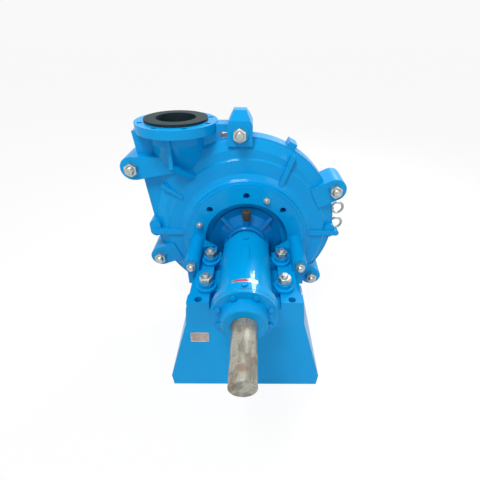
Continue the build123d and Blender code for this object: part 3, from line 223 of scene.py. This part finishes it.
class StudioSettings(bpy.types.PropertyGroup):
    """Camera, lamps and floor."""

    lens: bpy.props.FloatProperty(
        name="Lens", description="Focal length on a 36 mm sensor", default=23.40, min=1.0)
    floor_size: bpy.props.FloatProperty(
        name="Floor size", description="Width of the plain floor", default=60.0, min=1.0, unit="LENGTH")
    sky_strength: bpy.props.FloatProperty(
        name="Sky strength", description="Soft light from all round", default=0.45, min=0.0)
    seen_strength: bpy.props.FloatProperty(
        name="Backdrop", description="Brightness of the sky as the camera sees it, level with the far floor",
        default=0.945, min=0.0, max=1.0)
    key_power: bpy.props.FloatProperty(
        name="Key lamp", description="Power of the lamp overhead", default=75.0, min=0.0, unit="POWER")
    back_power: bpy.props.FloatProperty(
        name="Back lamp", description="Power of the small lamp behind, which draws the gloss on the enamel",
        default=60.0, min=0.0, unit="POWER")
    fill_power: bpy.props.FloatProperty(
        name="Fill lamp", description="Power of the lamp in front", default=14.0, min=0.0, unit="POWER")


# Shader maths
class Wire:
    """A shader socket whose arithmetic adds Math nodes."""

    def __init__(self, tree, socket):
        self.tree = tree
        self.socket = socket

    def maths(self, operation, first, second):
        return self.tree.node("ShaderNodeMath", {"operation": operation}, {0: first, 1: second})

    def __add__(self, other):
        return self.maths("ADD", self, other)

    def __radd__(self, other):
        return self.maths("ADD", other, self)

    def __sub__(self, other):
        return self.maths("SUBTRACT", self, other)

    def __rsub__(self, other):
        return self.maths("SUBTRACT", other, self)

    def __mul__(self, other):
        return self.maths("MULTIPLY", self, other)

    def __rmul__(self, other):
        return self.maths("MULTIPLY", other, self)


class Tree:
    """Nodes of a material or of the sky that are being built."""

    def __init__(self, owner):
        owner.use_nodes = True
        self.nodes = owner.node_tree.nodes
        self.links = owner.node_tree.links
        self.nodes.clear()

    def node(self, kind, settings=None, values=None, output=0):
        """Adds a node: its settings first, then the values or links of its sockets."""
        node = self.nodes.new(kind)
        for name, value in (settings or {}).items():
            if name == "stops":
                for stop, (position, tone) in zip(self.ramp_stops(node, len(value)), value):
                    stop.position = position
                    stop.color = tone
            else:
                setattr(node, name, value)
        for name, value in (values or {}).items():
            self.feed(node.inputs[name], value)
        return Wire(self, node.outputs[output]) if node.outputs else None

    def ramp_stops(self, node, count):
        stops = node.color_ramp.elements
        while len(stops) < count:
            stops.new(1.0)
        return stops

    def feed(self, socket, value):
        if isinstance(value, Wire):
            self.links.new(value.socket, socket)
        else:
            socket.default_value = value

    def seen(self):
        """1 for camera, mirror and glass rays."""
        total = 0.0
        for ray in ("Is Camera Ray", "Is Glossy Ray", "Is Transmission Ray"):
            total = self.node("ShaderNodeLightPath", {}, {}, ray) + total
        return self.node("ShaderNodeMath", {"operation": "MINIMUM"}, {0: total, 1: 1.0})


class Finish(Tree):
    """A material that is being built."""

    def __init__(self, name):
        self.material = bpy.data.materials.new(name)
        super().__init__(self.material)
        self.place = self.node("ShaderNodeTexCoord", {}, {}, "Object")

    def noise(self, scale, detail=3.0, roughness=0.5, stretch=None):
        place = self.place
        if stretch is not None:
            place = self.node("ShaderNodeMapping", {}, {"Vector": place, "Scale": stretch})
        return self.node("ShaderNodeTexNoise", {}, {
            "Vector": place, "Scale": scale, "Detail": detail, "Roughness": roughness})

    def ramp(self, value, *stops):
        """Value through grey stops given as (position, level)."""
        greys = [(position, grey(level)) for position, level in stops]
        return self.node("ShaderNodeValToRGB", {"stops": greys}, {"Fac": value})

    def mixed(self, share, first, second):
        """First colour, with a share of the second."""
        return self.node("ShaderNodeMix", {"data_type": "RGBA"}, {
            0: share, 6: colour(first), 7: colour(second)}, 2)

    def bump(self, height, strength, distance, rounding=0.0):
        values = {"Height": height, "Strength": strength, "Distance": distance}
        if rounding:
            values["Normal"] = self.node("ShaderNodeBevel", {"samples": BEVEL_SAMPLES}, {"Radius": rounding})
        return self.node("ShaderNodeBump", {}, values)

    def surface(self, **values):
        """Ends the material in one Principled shader."""
        named = {name.replace("_", " ").title(): value for name, value in values.items()}
        if "Specular Level" in named:
            named["Specular IOR Level"] = named.pop("Specular Level")
        return self.ended(self.node("ShaderNodeBsdfPrincipled", {}, named))

    def ended(self, shader):
        """Joins a shader to the material's output."""
        self.node("ShaderNodeOutputMaterial", {}, {"Surface": shader})
        return self.material


def colour(value):
    return value if isinstance(value, Wire) else (*value[:3], 1.0)


def grey(level):
    return level, level, level, 1.0


def shade(value, level):
    """A colour made lighter or darker."""
    return tuple(min(1.0, channel * level) for channel in value)


def enamel(name, base, deep, rounding):
    """Gloss paint over a sand casting: soft edges, orange peel, slow lumps and pooled colour."""
    finish = Finish(name)
    pooled = finish.ramp(finish.noise(4.0, 3.0), (0.35, 0.0), (0.75, 0.8))
    lumps = finish.noise(38.0, 2.0)
    sand = finish.noise(420.0, 3.0, 0.6)
    tone = finish.mixed(pooled, base, deep)
    dust = finish.ramp(finish.noise(22.0, 6.0, 0.7), (0.62, 0.0), (0.80, 0.20))
    tone = finish.mixed(dust, tone, shade(base, 1.2))
    height = lumps * 0.85 + sand * 0.10
    return finish.surface(
        base_color=tone,
        roughness=0.28 + sand * 0.08 + dust * 0.15,
        specular_level=0.05,
        coat_weight=0.20,
        coat_roughness=0.06,
        normal=finish.bump(height, 0.35, 0.0010, rounding))


def rubber(name, base):
    """Moulded rubber, dull, with faint scuffs."""
    finish = Finish(name)
    scuffs = finish.ramp(finish.noise(60.0, 6.0, 0.65, (1.0, 1.0, 4.0)), (0.55, 0.0), (0.72, 1.0))
    grain = finish.noise(500.0, 2.0)
    return finish.surface(
        base_color=finish.mixed(scuffs * 0.5, base, shade(base, 2.6)),
        specular_level=0.25,
        roughness=0.50 + grain * 0.18 - scuffs * 0.08,
        normal=finish.bump(grain * 0.4 + finish.noise(40.0) * 0.6, 0.3, 0.0008, 0.0015))


def plated(name, base, roughness=0.3, spread=0.16):
    """Plated or machined metal with a little tone variation and fine grain."""
    finish = Finish(name)
    clouds = finish.noise(38.0, 5.0, 0.6)
    grain = finish.noise(900.0, 2.0)
    return finish.surface(
        base_color=finish.mixed(finish.ramp(clouds, (0.35, 0.0), (0.68, 1.0)), base, shade(base, 0.62)),
        metallic=0.9,
        roughness=roughness + clouds * spread,
        normal=finish.bump(grain, 0.2, 0.0003, 0.0008))


def shaft_steel(name, steel, rust):
    """Turned shaft with rust blotches and a smeared film of oil."""
    finish = Finish(name)
    blotches = finish.ramp(finish.noise(17.0, 6.0, 0.66), (0.50, 0.0), (0.62, 1.0))
    specks = finish.ramp(finish.noise(95.0, 5.0, 0.7), (0.57, 0.0), (0.66, 1.0))
    smears = finish.ramp(finish.noise(34.0, 5.0, 0.65, (1.0, 0.20, 1.0)), (0.47, 0.0), (0.58, 1.0))
    turning = finish.noise(14.0, 2.0, 0.5, (1.0, 90.0, 1.0))
    worn = finish.mixed(smears * 0.8, steel, shade(steel, 0.42))
    worn = finish.mixed(blotches * 0.75, worn, rust)
    worn = finish.mixed(specks * 0.45, worn, shade(rust, 0.6))
    return finish.surface(
        base_color=worn,
        metallic=0.50 - blotches * 0.30,
        roughness=0.30 + blotches * 0.24 + smears * 0.08,
        coat_weight=0.28,
        coat_roughness=0.07,
        normal=finish.bump(turning * 0.4 + specks * 0.3 + smears * 0.3, 0.25, 0.0005, 0.001))


def packing_finish(name):
    """Braided packing."""
    finish = Finish(name)
    braid = finish.node("ShaderNodeTexWave", {"wave_type": "BANDS", "bands_direction": "DIAGONAL"}, {
        "Vector": finish.place, "Scale": 160.0, "Distortion": 1.5})
    return finish.surface(
        base_color=finish.mixed(braid, (0.06, 0.06, 0.055), (0.20, 0.19, 0.17)),
        roughness=0.8,
        normal=finish.bump(braid, 0.5, 0.0008))


def red_paint(name, base):
    finish = Finish(name)
    wear = finish.ramp(finish.noise(240.0, 5.0, 0.7), (0.60, 0.0), (0.72, 1.0))
    return finish.surface(
        base_color=finish.mixed(wear, base, (0.55, 0.45, 0.42)),
        roughness=0.35 + wear * 0.2)


def paint(node, finish):
    """Gives a CAD node one finish."""
    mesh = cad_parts[node].data
    mesh.materials.clear()
    mesh.materials.append(bpy.data.materials[finish])


# Mesh building
def solids(node):
    """Vertices of each separate solid in a CAD node."""
    mesh = bmesh.new()
    mesh.from_mesh(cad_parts[node].data)
    bmesh.ops.remove_doubles(mesh, verts=mesh.verts, dist=WELD)
    waiting = dict.fromkeys(mesh.verts)
    found = []
    while waiting:
        front = [next(iter(waiting))]
        del waiting[front[0]]
        group = []
        while front:
            vertex = front.pop()
            group.append(vertex.co.copy())
            for edge in vertex.link_edges:
                other = edge.other_vert(vertex)
                if other in waiting:
                    del waiting[other]
                    front.append(other)
        found.append(group)
    mesh.free()
    found.sort(key=lambda group: tuple(round(value, ORDER_DIGITS) for value in middle(group)))
    return found


def corners(group):
    low = Vector([min(point[axis] for point in group) for axis in range(3)])
    high = Vector([max(point[axis] for point in group) for axis in range(3)])
    return low, high


def middle(group):
    low, high = corners(group)
    return (low + high) / 2


def standing(group, axis, outward):
    """Matrix at the foot of a solid, with local Z outward along its axis, and the solid's length."""
    low, high = corners(group)
    foot = middle(group)
    foot[axis] = low[axis] if outward > 0 else high[axis]
    direction = Vector((0.0, 0.0, 0.0))
    direction[axis] = outward
    turned = direction.to_track_quat("Z", "Y").to_matrix().to_4x4()
    return Matrix.Translation(foot) @ turned, high[axis] - low[axis]


def ring(radius, height, count, shape=None):
    """Points round local Z. A shape gives each angle its own radius and height."""
    points = []
    for index in range(count):
        angle = 2 * math.pi * index / count
        reach, level = shape(angle, radius, height) if shape else (radius, height)
        points.append(Vector((reach * math.cos(angle), reach * math.sin(angle), level)))
    return points


def skin(mesh, rings, place, wrap=False):
    """Walls between rings of points, with flat ends, or closed on themselves if they wrap."""
    rows = [[mesh.verts.new(place @ point) for point in points] for points in rings]
    pairs = list(zip(rows, rows[1:]))
    if wrap:
        pairs.append((rows[-1], rows[0]))
    else:
        mesh.faces.new(reversed(rows[0]))
        mesh.faces.new(rows[-1])
    for lower, upper in pairs:
        count = len(lower)
        for index in range(count):
            after = (index + 1) % count
            mesh.faces.new((lower[index], lower[after], upper[after], upper[index]))


def piece(name, mesh, finish, body, replaced=()):
    """Turns a bmesh into an object that rides a body."""
    bmesh.ops.recalc_face_normals(mesh, faces=mesh.faces)
    for face in mesh.faces:
        face.smooth = True
    for edge in mesh.edges:
        edge.smooth = len(edge.link_faces) == 2 and edge.calc_face_angle() < SMOOTH_ANGLE
    data = bpy.data.meshes.new(name)
    mesh.to_mesh(data)
    mesh.free()
    data.materials.append(bpy.data.materials[finish])
    made = bpy.data.objects.new(name, data)
    bpy.context.scene.collection.objects.link(made)
    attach(made, body)
    if replaced:
        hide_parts(*replaced)


def add_nut(mesh, place, flats, height, hole, chamfer, turn):
    """Hexagon nut with both faces chamfered to a circle. Without a hole it is a bolt's head."""
    count = NUT_POINTS
    half = flats / 2
    face = half * chamfer
    fall = math.tan(CHAMFER_ANGLE)

    def hexagon(angle, side, level):
        """Side is -1 on the lower face and 1 on the upper one."""
        part = (angle + turn) % SIXTH_TURN - SIXTH_TURN / 2
        reach = half / math.cos(part)
        return reach, level - side * (reach - face) * fall

    rings = [
        ring(face, 0.0, count),
        ring(-1.0, 0.0, count, hexagon),
        ring(1.0, height, count, hexagon),
        ring(face, height, count),
    ]
    if hole:
        lip = hole * LIP_SHARE
        rings = [ring(hole, lip - hole, count), ring(lip, 0.0, count)] + rings
        rings += [ring(lip, height, count), ring(hole, height - (lip - hole), count)]
    skin(mesh, rings, place, wrap=bool(hole))


def add_stud(mesh, place, radius, begin, length, threaded, sizes):
    """Round bar along local Z, its last stretch threaded, its end chamfered."""
    count = STUD_POINTS
    pitch = radius * sizes.thread_pitch
    depth = pitch * sizes.thread_depth
    rings = [ring(radius - depth, begin, count), ring(radius - depth, length - threaded, count)]
    rows = int(threaded / pitch * ROWS_PER_TURN)

    def helix(angle, reach, level):
        phase = (level / pitch - angle / (2 * math.pi)) % 1.0
        tooth = 1.0 - abs(2 * phase - 1.0)
        taper = min(1.0, (length - level) / (depth * FADE_DEPTHS))
        return reach - depth * (1.0 - tooth * taper), level

    for row in range(1, rows):
        rings.append(ring(radius, length - threaded + threaded * row / rows, count, helix))
    rings.append(ring(radius - depth * END_DEPTHS, length, count))
    skin(mesh, rings, place)


def half_flats(group, axis):
    """Half of a hexagon's width across flats, its axis lying along Y (1) or Z (2)."""
    low, high = corners(group)
    size = high - low
    return min(size[index] for index in range(3) if index != axis) / 2


def bar_radius(group, axis, end):
    """Radius of a bar at the end of its solid with the lowest (-1) or highest (1) coordinate."""
    centre = middle(group)
    low, high = corners(group)
    level = low[axis] if end < 0 else high[axis]
    best = 0.0
    for point in group:
        if abs(point[axis] - level) < LEVEL_SLACK:
            offset = point - centre
            offset[axis] = 0.0
            best = max(best, offset.length)
    return best


def hexagon_turn(group, place):
    """Angle that lines a new hexagon up with the CAD solid's corners."""
    inverse = place.inverted()
    far = max(((inverse @ point).xy for point in group), key=lambda spot: spot.length)
    return SIXTH_TURN - math.atan2(far.y, far.x) % SIXTH_TURN


def fit_nuts(node, axis, outward, body, bore):
    """Chamfered nuts in the places of a CAD node's plain ones."""
    sizes = bpy.context.scene.pump_sizes
    mesh = bmesh.new()
    for group in solids(node):
        place, height = standing(group, axis, outward)
        flats = 2 * half_flats(group, axis)
        add_nut(mesh, place, flats, height, bore, sizes.nut_chamfer, hexagon_turn(group, place))
    piece(node[:-1] + "_set", mesh, "zinc_plate", body, (node,))


def fit_studs(node, axis, outward, threaded, head):
    """Threaded studs in the places of a CAD node's plain ones. A bolt's head is (flats, height)."""
    sizes = bpy.context.scene.pump_sizes
    mesh = bmesh.new()
    for group in solids(node):
        radius = bar_radius(group, axis, outward)
        place, length = standing(group, axis, outward)
        begin = head[1] / 2 if head else 0.0
        add_stud(mesh, place, radius, begin, length, radius * threaded, sizes)
        if head:
            add_nut(mesh, place, head[0], head[1], 0.0, sizes.nut_chamfer, 0.0)
    piece(node[:-1] + "_set", mesh, "zinc_plate", "frame", (node,))


class PUMP_OT_finishes(bpy.types.Operator):
    """Builds every material of the pump"""

    bl_idname = "pump.finishes"
    bl_label = "Build finishes"

    def execute(self, context):
        tones = context.scene.pump_colours
        sizes = context.scene.pump_sizes
        enamel("casting_enamel", tones.enamel, tones.enamel_deep, sizes.edge_round)
        rubber("liner_rubber", tones.rubber)
        plated("zinc_plate", tones.zinc)
        shaft_steel("worn_shaft", tones.steel, tones.rust)
        plated("ground_steel", (0.75, 0.76, 0.78), 0.12, 0.08)
        plated("turned_steel", (0.55, 0.55, 0.54), 0.28)
        plated("lantern_bronze", (0.60, 0.40, 0.17), 0.32)
        plated("shim_brass", (0.70, 0.54, 0.24), 0.3)
        rubber("cup_oxide", (0.045, 0.046, 0.040))
        # Enamel with painted shade for the stuffing box deep in the recess
        enamel("recess_enamel", tones.painted_shade_blue, shade(tones.painted_shade_blue, 0.8), sizes.edge_round)
        plated("bare_plate", (0.52, 0.43, 0.40), 0.42)
        plated("bright_plate", (0.66, 0.64, 0.62), 0.34, 0.08)
        plated("white_iron", (0.30, 0.29, 0.28), 0.45)
        packing_finish("braided_packing")
        red_paint("arrow_red", tones.arrow)
        return {"FINISHED"}


class PUMP_OT_castings(bpy.types.Operator):
    """Paints the castings, covers and their screws blue"""

    bl_idname = "pump.castings"
    bl_label = "Paint castings"

    def execute(self, context):
        for node in PAINTED:
            paint(node, "casting_enamel")
        # The stuffing box gets the darker blue of painted shade
        paint("stuffing_box", "recess_enamel")
        return {"FINISHED"}


class PUMP_OT_rubbers(bpy.types.Operator):
    """Gives the liners, joint rings and O-ring their rubber"""

    bl_idname = "pump.rubbers"
    bl_label = "Finish rubber parts"

    def execute(self, context):
        for node in RUBBERS:
            paint(node, "liner_rubber")
        paint("packing_rings", "braided_packing")
        return {"FINISHED"}


class PUMP_OT_metals(bpy.types.Operator):
    """Gives shaft, bearings, impeller, lantern ring and fasteners their bare metals"""

    bl_idname = "pump.metals"
    bl_label = "Finish bare metals"

    def execute(self, context):
        for nodes, finish in ((PLATED, "zinc_plate"), (BEARINGS, "ground_steel"), (TURNED, "turned_steel")):
            for node in nodes:
                paint(node, finish)
        paint("shaft", "worn_shaft")
        paint("impeller", "white_iron")
        paint("lantern_ring", "lantern_bronze")
        paint("end_cover_shims", "shim_brass")
        paint("grease_cup_body", "cup_oxide")
        paint("nameplate", "bare_plate")
        paint("direction_plate", "bright_plate")
        return {"FINISHED"}


class PUMP_OT_nuts(bpy.types.Operator):
    """Builds the chamfered nuts of casing, ring, shoulders, clamps and gland"""

    bl_idname = "pump.nuts"
    bl_label = "Build nuts"

    def execute(self, context):
        for nuts in NUTS:
            fit_nuts(*nuts)
        return {"FINISHED"}


class PUMP_OT_studs(bpy.types.Operator):
    """Builds the threaded studs and bolts that the nuts sit on"""

    bl_idname = "pump.studs"
    bl_label = "Build studs"

    def execute(self, context):
        for studs in STUDS:
            fit_studs(*studs)
        return {"FINISHED"}


class PUMP_OT_grease_cap(bpy.types.Operator):
    """Builds the fluted, crowned cap of the grease cup"""

    bl_idname = "pump.grease_cap"
    bl_label = "Build grease cap"

    def execute(self, context):
        sizes = context.scene.pump_sizes
        low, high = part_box("grease_cup_cap")
        radius = (high.x - low.x) / 2
        height = high.z - low.z
        count = sizes.cap_flutes * POINTS_PER_FLUTE

        def fluted(angle, reach, level):
            wave = 0.5 + 0.5 * math.cos(angle * sizes.cap_flutes)
            return reach - sizes.flute_depth * wave, level

        rings = [
            ring(radius - CAP_WALL, 0.0, count),
            ring(radius - CAP_WALL / 2, 0.0, count),
            ring(radius, height * FLUTE_LOW_SHARE, count, fluted),
            ring(radius, height * FLUTE_HIGH_SHARE, count, fluted),
            ring(radius - CAP_WALL / 2, height * SHOULDER_SHARE, count),
        ]
        rings += [ring(radius * reach, height * level, count) for reach, level in CROWN_SHARES]
        ceiling = height * CEILING_SHARE
        rings.append(ring(radius * CROWN_SHARES[-1][0], ceiling + CAP_WALL / 2, count))
        rings.append(ring(radius - CAP_WALL, ceiling, count))
        mesh = bmesh.new()
        place = Matrix.Translation(((low.x + high.x) / 2, (low.y + high.y) / 2, low.z))
        skin(mesh, rings, place, wrap=True)
        piece("grease_cap_fluted", mesh, "cup_oxide", "grease_cap", ("grease_cup_cap",))
        return {"FINISHED"}


class PUMP_OT_arrow(bpy.types.Operator):
    """Lays the painted turning arrow on its curved plate"""

    bl_idname = "pump.arrow"
    bl_label = "Build turning arrow"

    def execute(self, context):
        low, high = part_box("direction_plate")
        shaft_low, shaft_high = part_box("shaft")
        axis_z = (shaft_low.z + shaft_high.z) / 2
        radius = high.z - axis_z + ARROW_LIFT
        centre_y = (low.y + high.y) / 2
        outline = list(ARROW_HALF) + [(x, -y) for x, y in reversed(ARROW_HALF[1:])]
        mesh = bmesh.new()
        points = []
        for (x, y), (next_x, next_y) in zip(outline, outline[1:] + outline[:1]):
            for step in range(ARROW_STEPS):
                share = step / ARROW_STEPS
                points.append((x + (next_x - x) * share, y + (next_y - y) * share))
        rows = []
        for lift in (0.0, ARROW_DEPTH):
            row = []
            for x, y in points:
                turn = x / radius
                reach = radius + lift
                place = (reach * math.sin(turn), centre_y + y, axis_z + reach * math.cos(turn))
                row.append(mesh.verts.new(place))
            rows.append(row)
        count = len(points)
        for index in range(count):
            after = (index + 1) % count
            mesh.faces.new((rows[0][index], rows[0][after], rows[1][after], rows[1][index]))
        mesh.faces.new(rows[1])
        mesh.faces.new(reversed(rows[0]))
        bmesh.ops.triangulate(mesh, faces=[face for face in mesh.faces if len(face.verts) > 4])
        piece("turning_arrow", mesh, "arrow_red", "bearing_assembly")
        return {"FINISHED"}


class PUMP_OT_border(bpy.types.Operator):
    """Raises the bright border round the nameplate"""

    bl_idname = "pump.border"
    bl_label = "Build nameplate border"

    def execute(self, context):
        sizes = context.scene.pump_sizes
        points = [point for group in solids("nameplate") for point in group]
        low, high = corners(points)
        front = min(points, key=lambda point: point.y)
        top = max(points, key=lambda point: point.z)
        lean = math.atan2(top.y - front.y, top.z - front.z)
        centre = (low + high) / 2
        half = ((high.x - low.x) / 2, (high.z - low.z) / (2 * math.cos(lean)))
        upward = Vector((0.0, math.sin(lean), math.cos(lean)))
        outward = Vector((0.0, -math.cos(lean), math.sin(lean)))
        mesh = bmesh.new()
        loops = []
        for inset, lift in ((0.0, 0.0), (0.0, 1.0), (1.0, 1.0), (1.0, 0.0)):
            loop = []
            reach = [size - BORDER_MARGIN - inset * sizes.border for size in half]
            bend = BORDER_CORNER - inset * sizes.border * BEND_SHARE
            for turn in range(0, 360, BORDER_STEP):
                angle = math.radians(turn + BORDER_STEP / 2)
                side = (math.copysign(1, math.cos(angle)), math.copysign(1, math.sin(angle)))
                x = side[0] * (reach[0] - bend) + bend * math.cos(angle)
                z = side[1] * (reach[1] - bend) + bend * math.sin(angle)
                out = BORDER_FOOT + lift * BORDER_LIFT
                loop.append(centre + Vector((x, 0.0, 0.0)) + upward * z + outward * out)
            loops.append(loop)
        skin(mesh, loops, Matrix.Identity(4), wrap=True)
        piece("nameplate_border", mesh, "bright_plate", "frame")
        return {"FINISHED"}


class PUMP_OT_stage(bpy.types.Operator):
    """Sets the floor, the soft lamps and the camera"""

    bl_idname = "pump.stage"
    bl_label = "Set the stage"

    def execute(self, context):
        studio = context.scene.pump_studio
        self.make_floor(studio)
        self.make_sky(studio)
        self.make_lamp(studio.key_power, *KEY_LAMP)
        self.make_lamp(studio.back_power, *BACK_LAMP)
        self.make_lamp(studio.fill_power, *FRONT_LAMP)
        self.make_camera(studio)
        context.scene.view_settings.view_transform = "Standard"
        return {"FINISHED"}

    def make_floor(self, studio):
        finish = Finish("studio_floor")
        plain = finish.node("ShaderNodeBsdfDiffuse", {}, {"Color": grey(FLOOR_GREY)})
        glow = finish.node("ShaderNodeEmission", {}, {"Color": grey(1.0), "Strength": 1.0})
        share = finish.seen() * FLOOR_GLOW_SHARE
        finish.ended(finish.node("ShaderNodeMixShader", {}, {0: share, 1: plain, 2: glow}))
        mesh = bmesh.new()
        bmesh.ops.create_grid(mesh, x_segments=1, y_segments=1, size=studio.floor_size / 2)
        data = bpy.data.meshes.new("studio_floor")
        mesh.to_mesh(data)
        mesh.free()
        data.materials.append(finish.material)
        floor = bpy.data.objects.new("studio_floor", data)
        floor.location.z = cad_box[0][2] - FLOOR_DROP
        bpy.context.scene.collection.objects.link(floor)

    def make_sky(self, studio):
        world = bpy.data.worlds.new("studio_sky")
        bpy.context.scene.world = world
        sky = Tree(world)
        strength = sky.node("ShaderNodeMapRange", {}, {
            "Value": sky.seen(), "To Min": studio.sky_strength, "To Max": studio.seen_strength})
        background = sky.node("ShaderNodeBackground", {}, {"Color": grey(1.0), "Strength": strength})
        sky.node("ShaderNodeOutputWorld", {}, {"Surface": background})

    def make_lamp(self, power, name, place, target, size):
        data = bpy.data.lights.new(name, "AREA")
        data.shape = "DISK"
        data.size = size
        data.energy = power
        lamp = bpy.data.objects.new(name, data)
        lamp.location = place
        lamp.rotation_euler = (Vector(target) - Vector(place)).to_track_quat("-Z", "Y").to_euler()
        bpy.context.scene.collection.objects.link(lamp)

    def make_camera(self, studio):
        """Camera at the photograph's angle: down and a little to the right, over the drive end."""
        pitch, yaw, roll = (math.radians(value) for value in CAMERA_ANGLES)
        ahead = Vector((math.sin(yaw) * math.cos(pitch), math.cos(yaw) * math.cos(pitch), -math.sin(pitch)))
        level = Vector((math.cos(yaw), -math.sin(yaw), 0.0))
        above = level.cross(ahead)
        right = level * math.cos(roll) + above * math.sin(roll)
        up = above * math.cos(roll) - level * math.sin(roll)
        data = bpy.data.cameras.new("photo_camera")
        data.sensor_width = SENSOR_WIDTH
        data.lens = studio.lens
        data.shift_x, data.shift_y = CAMERA_SHIFT
        camera = bpy.data.objects.new("photo_camera", data)
        turned = Matrix((right, up, -ahead)).transposed().to_4x4()
        camera.matrix_world = Matrix.Translation(CAMERA_PLACE) @ turned
        bpy.context.scene.collection.objects.link(camera)
        bpy.context.scene.camera = camera


STEPS = (
    PUMP_OT_finishes, PUMP_OT_castings, PUMP_OT_rubbers, PUMP_OT_metals, PUMP_OT_nuts, PUMP_OT_studs,
    PUMP_OT_grease_cap, PUMP_OT_arrow, PUMP_OT_border, PUMP_OT_stage,
)


class PUMP_PT_sidebar(bpy.types.Panel):
    """Pump panel in the 3D view's sidebar"""

    bl_idname = "PUMP_PT_sidebar"
    bl_label = "Slurry pump"
    bl_space_type = "VIEW_3D"
    bl_region_type = "UI"
    bl_category = "Pump"

    def draw(self, context):
        for step in STEPS:
            self.layout.operator(step.bl_idname)
        for group in (context.scene.pump_sizes, context.scene.pump_colours, context.scene.pump_studio):
            box = self.layout.box()
            for name in group.bl_rna.properties.keys():
                if name not in ("rna_type", "name"):
                    box.prop(group, name)


CLASSES = (PumpSizes, PumpColours, StudioSettings, *STEPS, PUMP_PT_sidebar)


def register():
    for kind in CLASSES:
        bpy.utils.register_class(kind)
    bpy.types.Scene.pump_sizes = bpy.props.PointerProperty(type=PumpSizes)
    bpy.types.Scene.pump_colours = bpy.props.PointerProperty(type=PumpColours)
    bpy.types.Scene.pump_studio = bpy.props.PointerProperty(type=StudioSettings)


def unregister():
    del bpy.types.Scene.pump_studio
    del bpy.types.Scene.pump_colours
    del bpy.types.Scene.pump_sizes
    for kind in reversed(CLASSES):
        bpy.utils.unregister_class(kind)


def main():
    register()
    for step in STEPS:
        package, name = step.bl_idname.split(".")
        getattr(getattr(bpy.ops, package), name)()


if __name__ == "__main__":
    main()
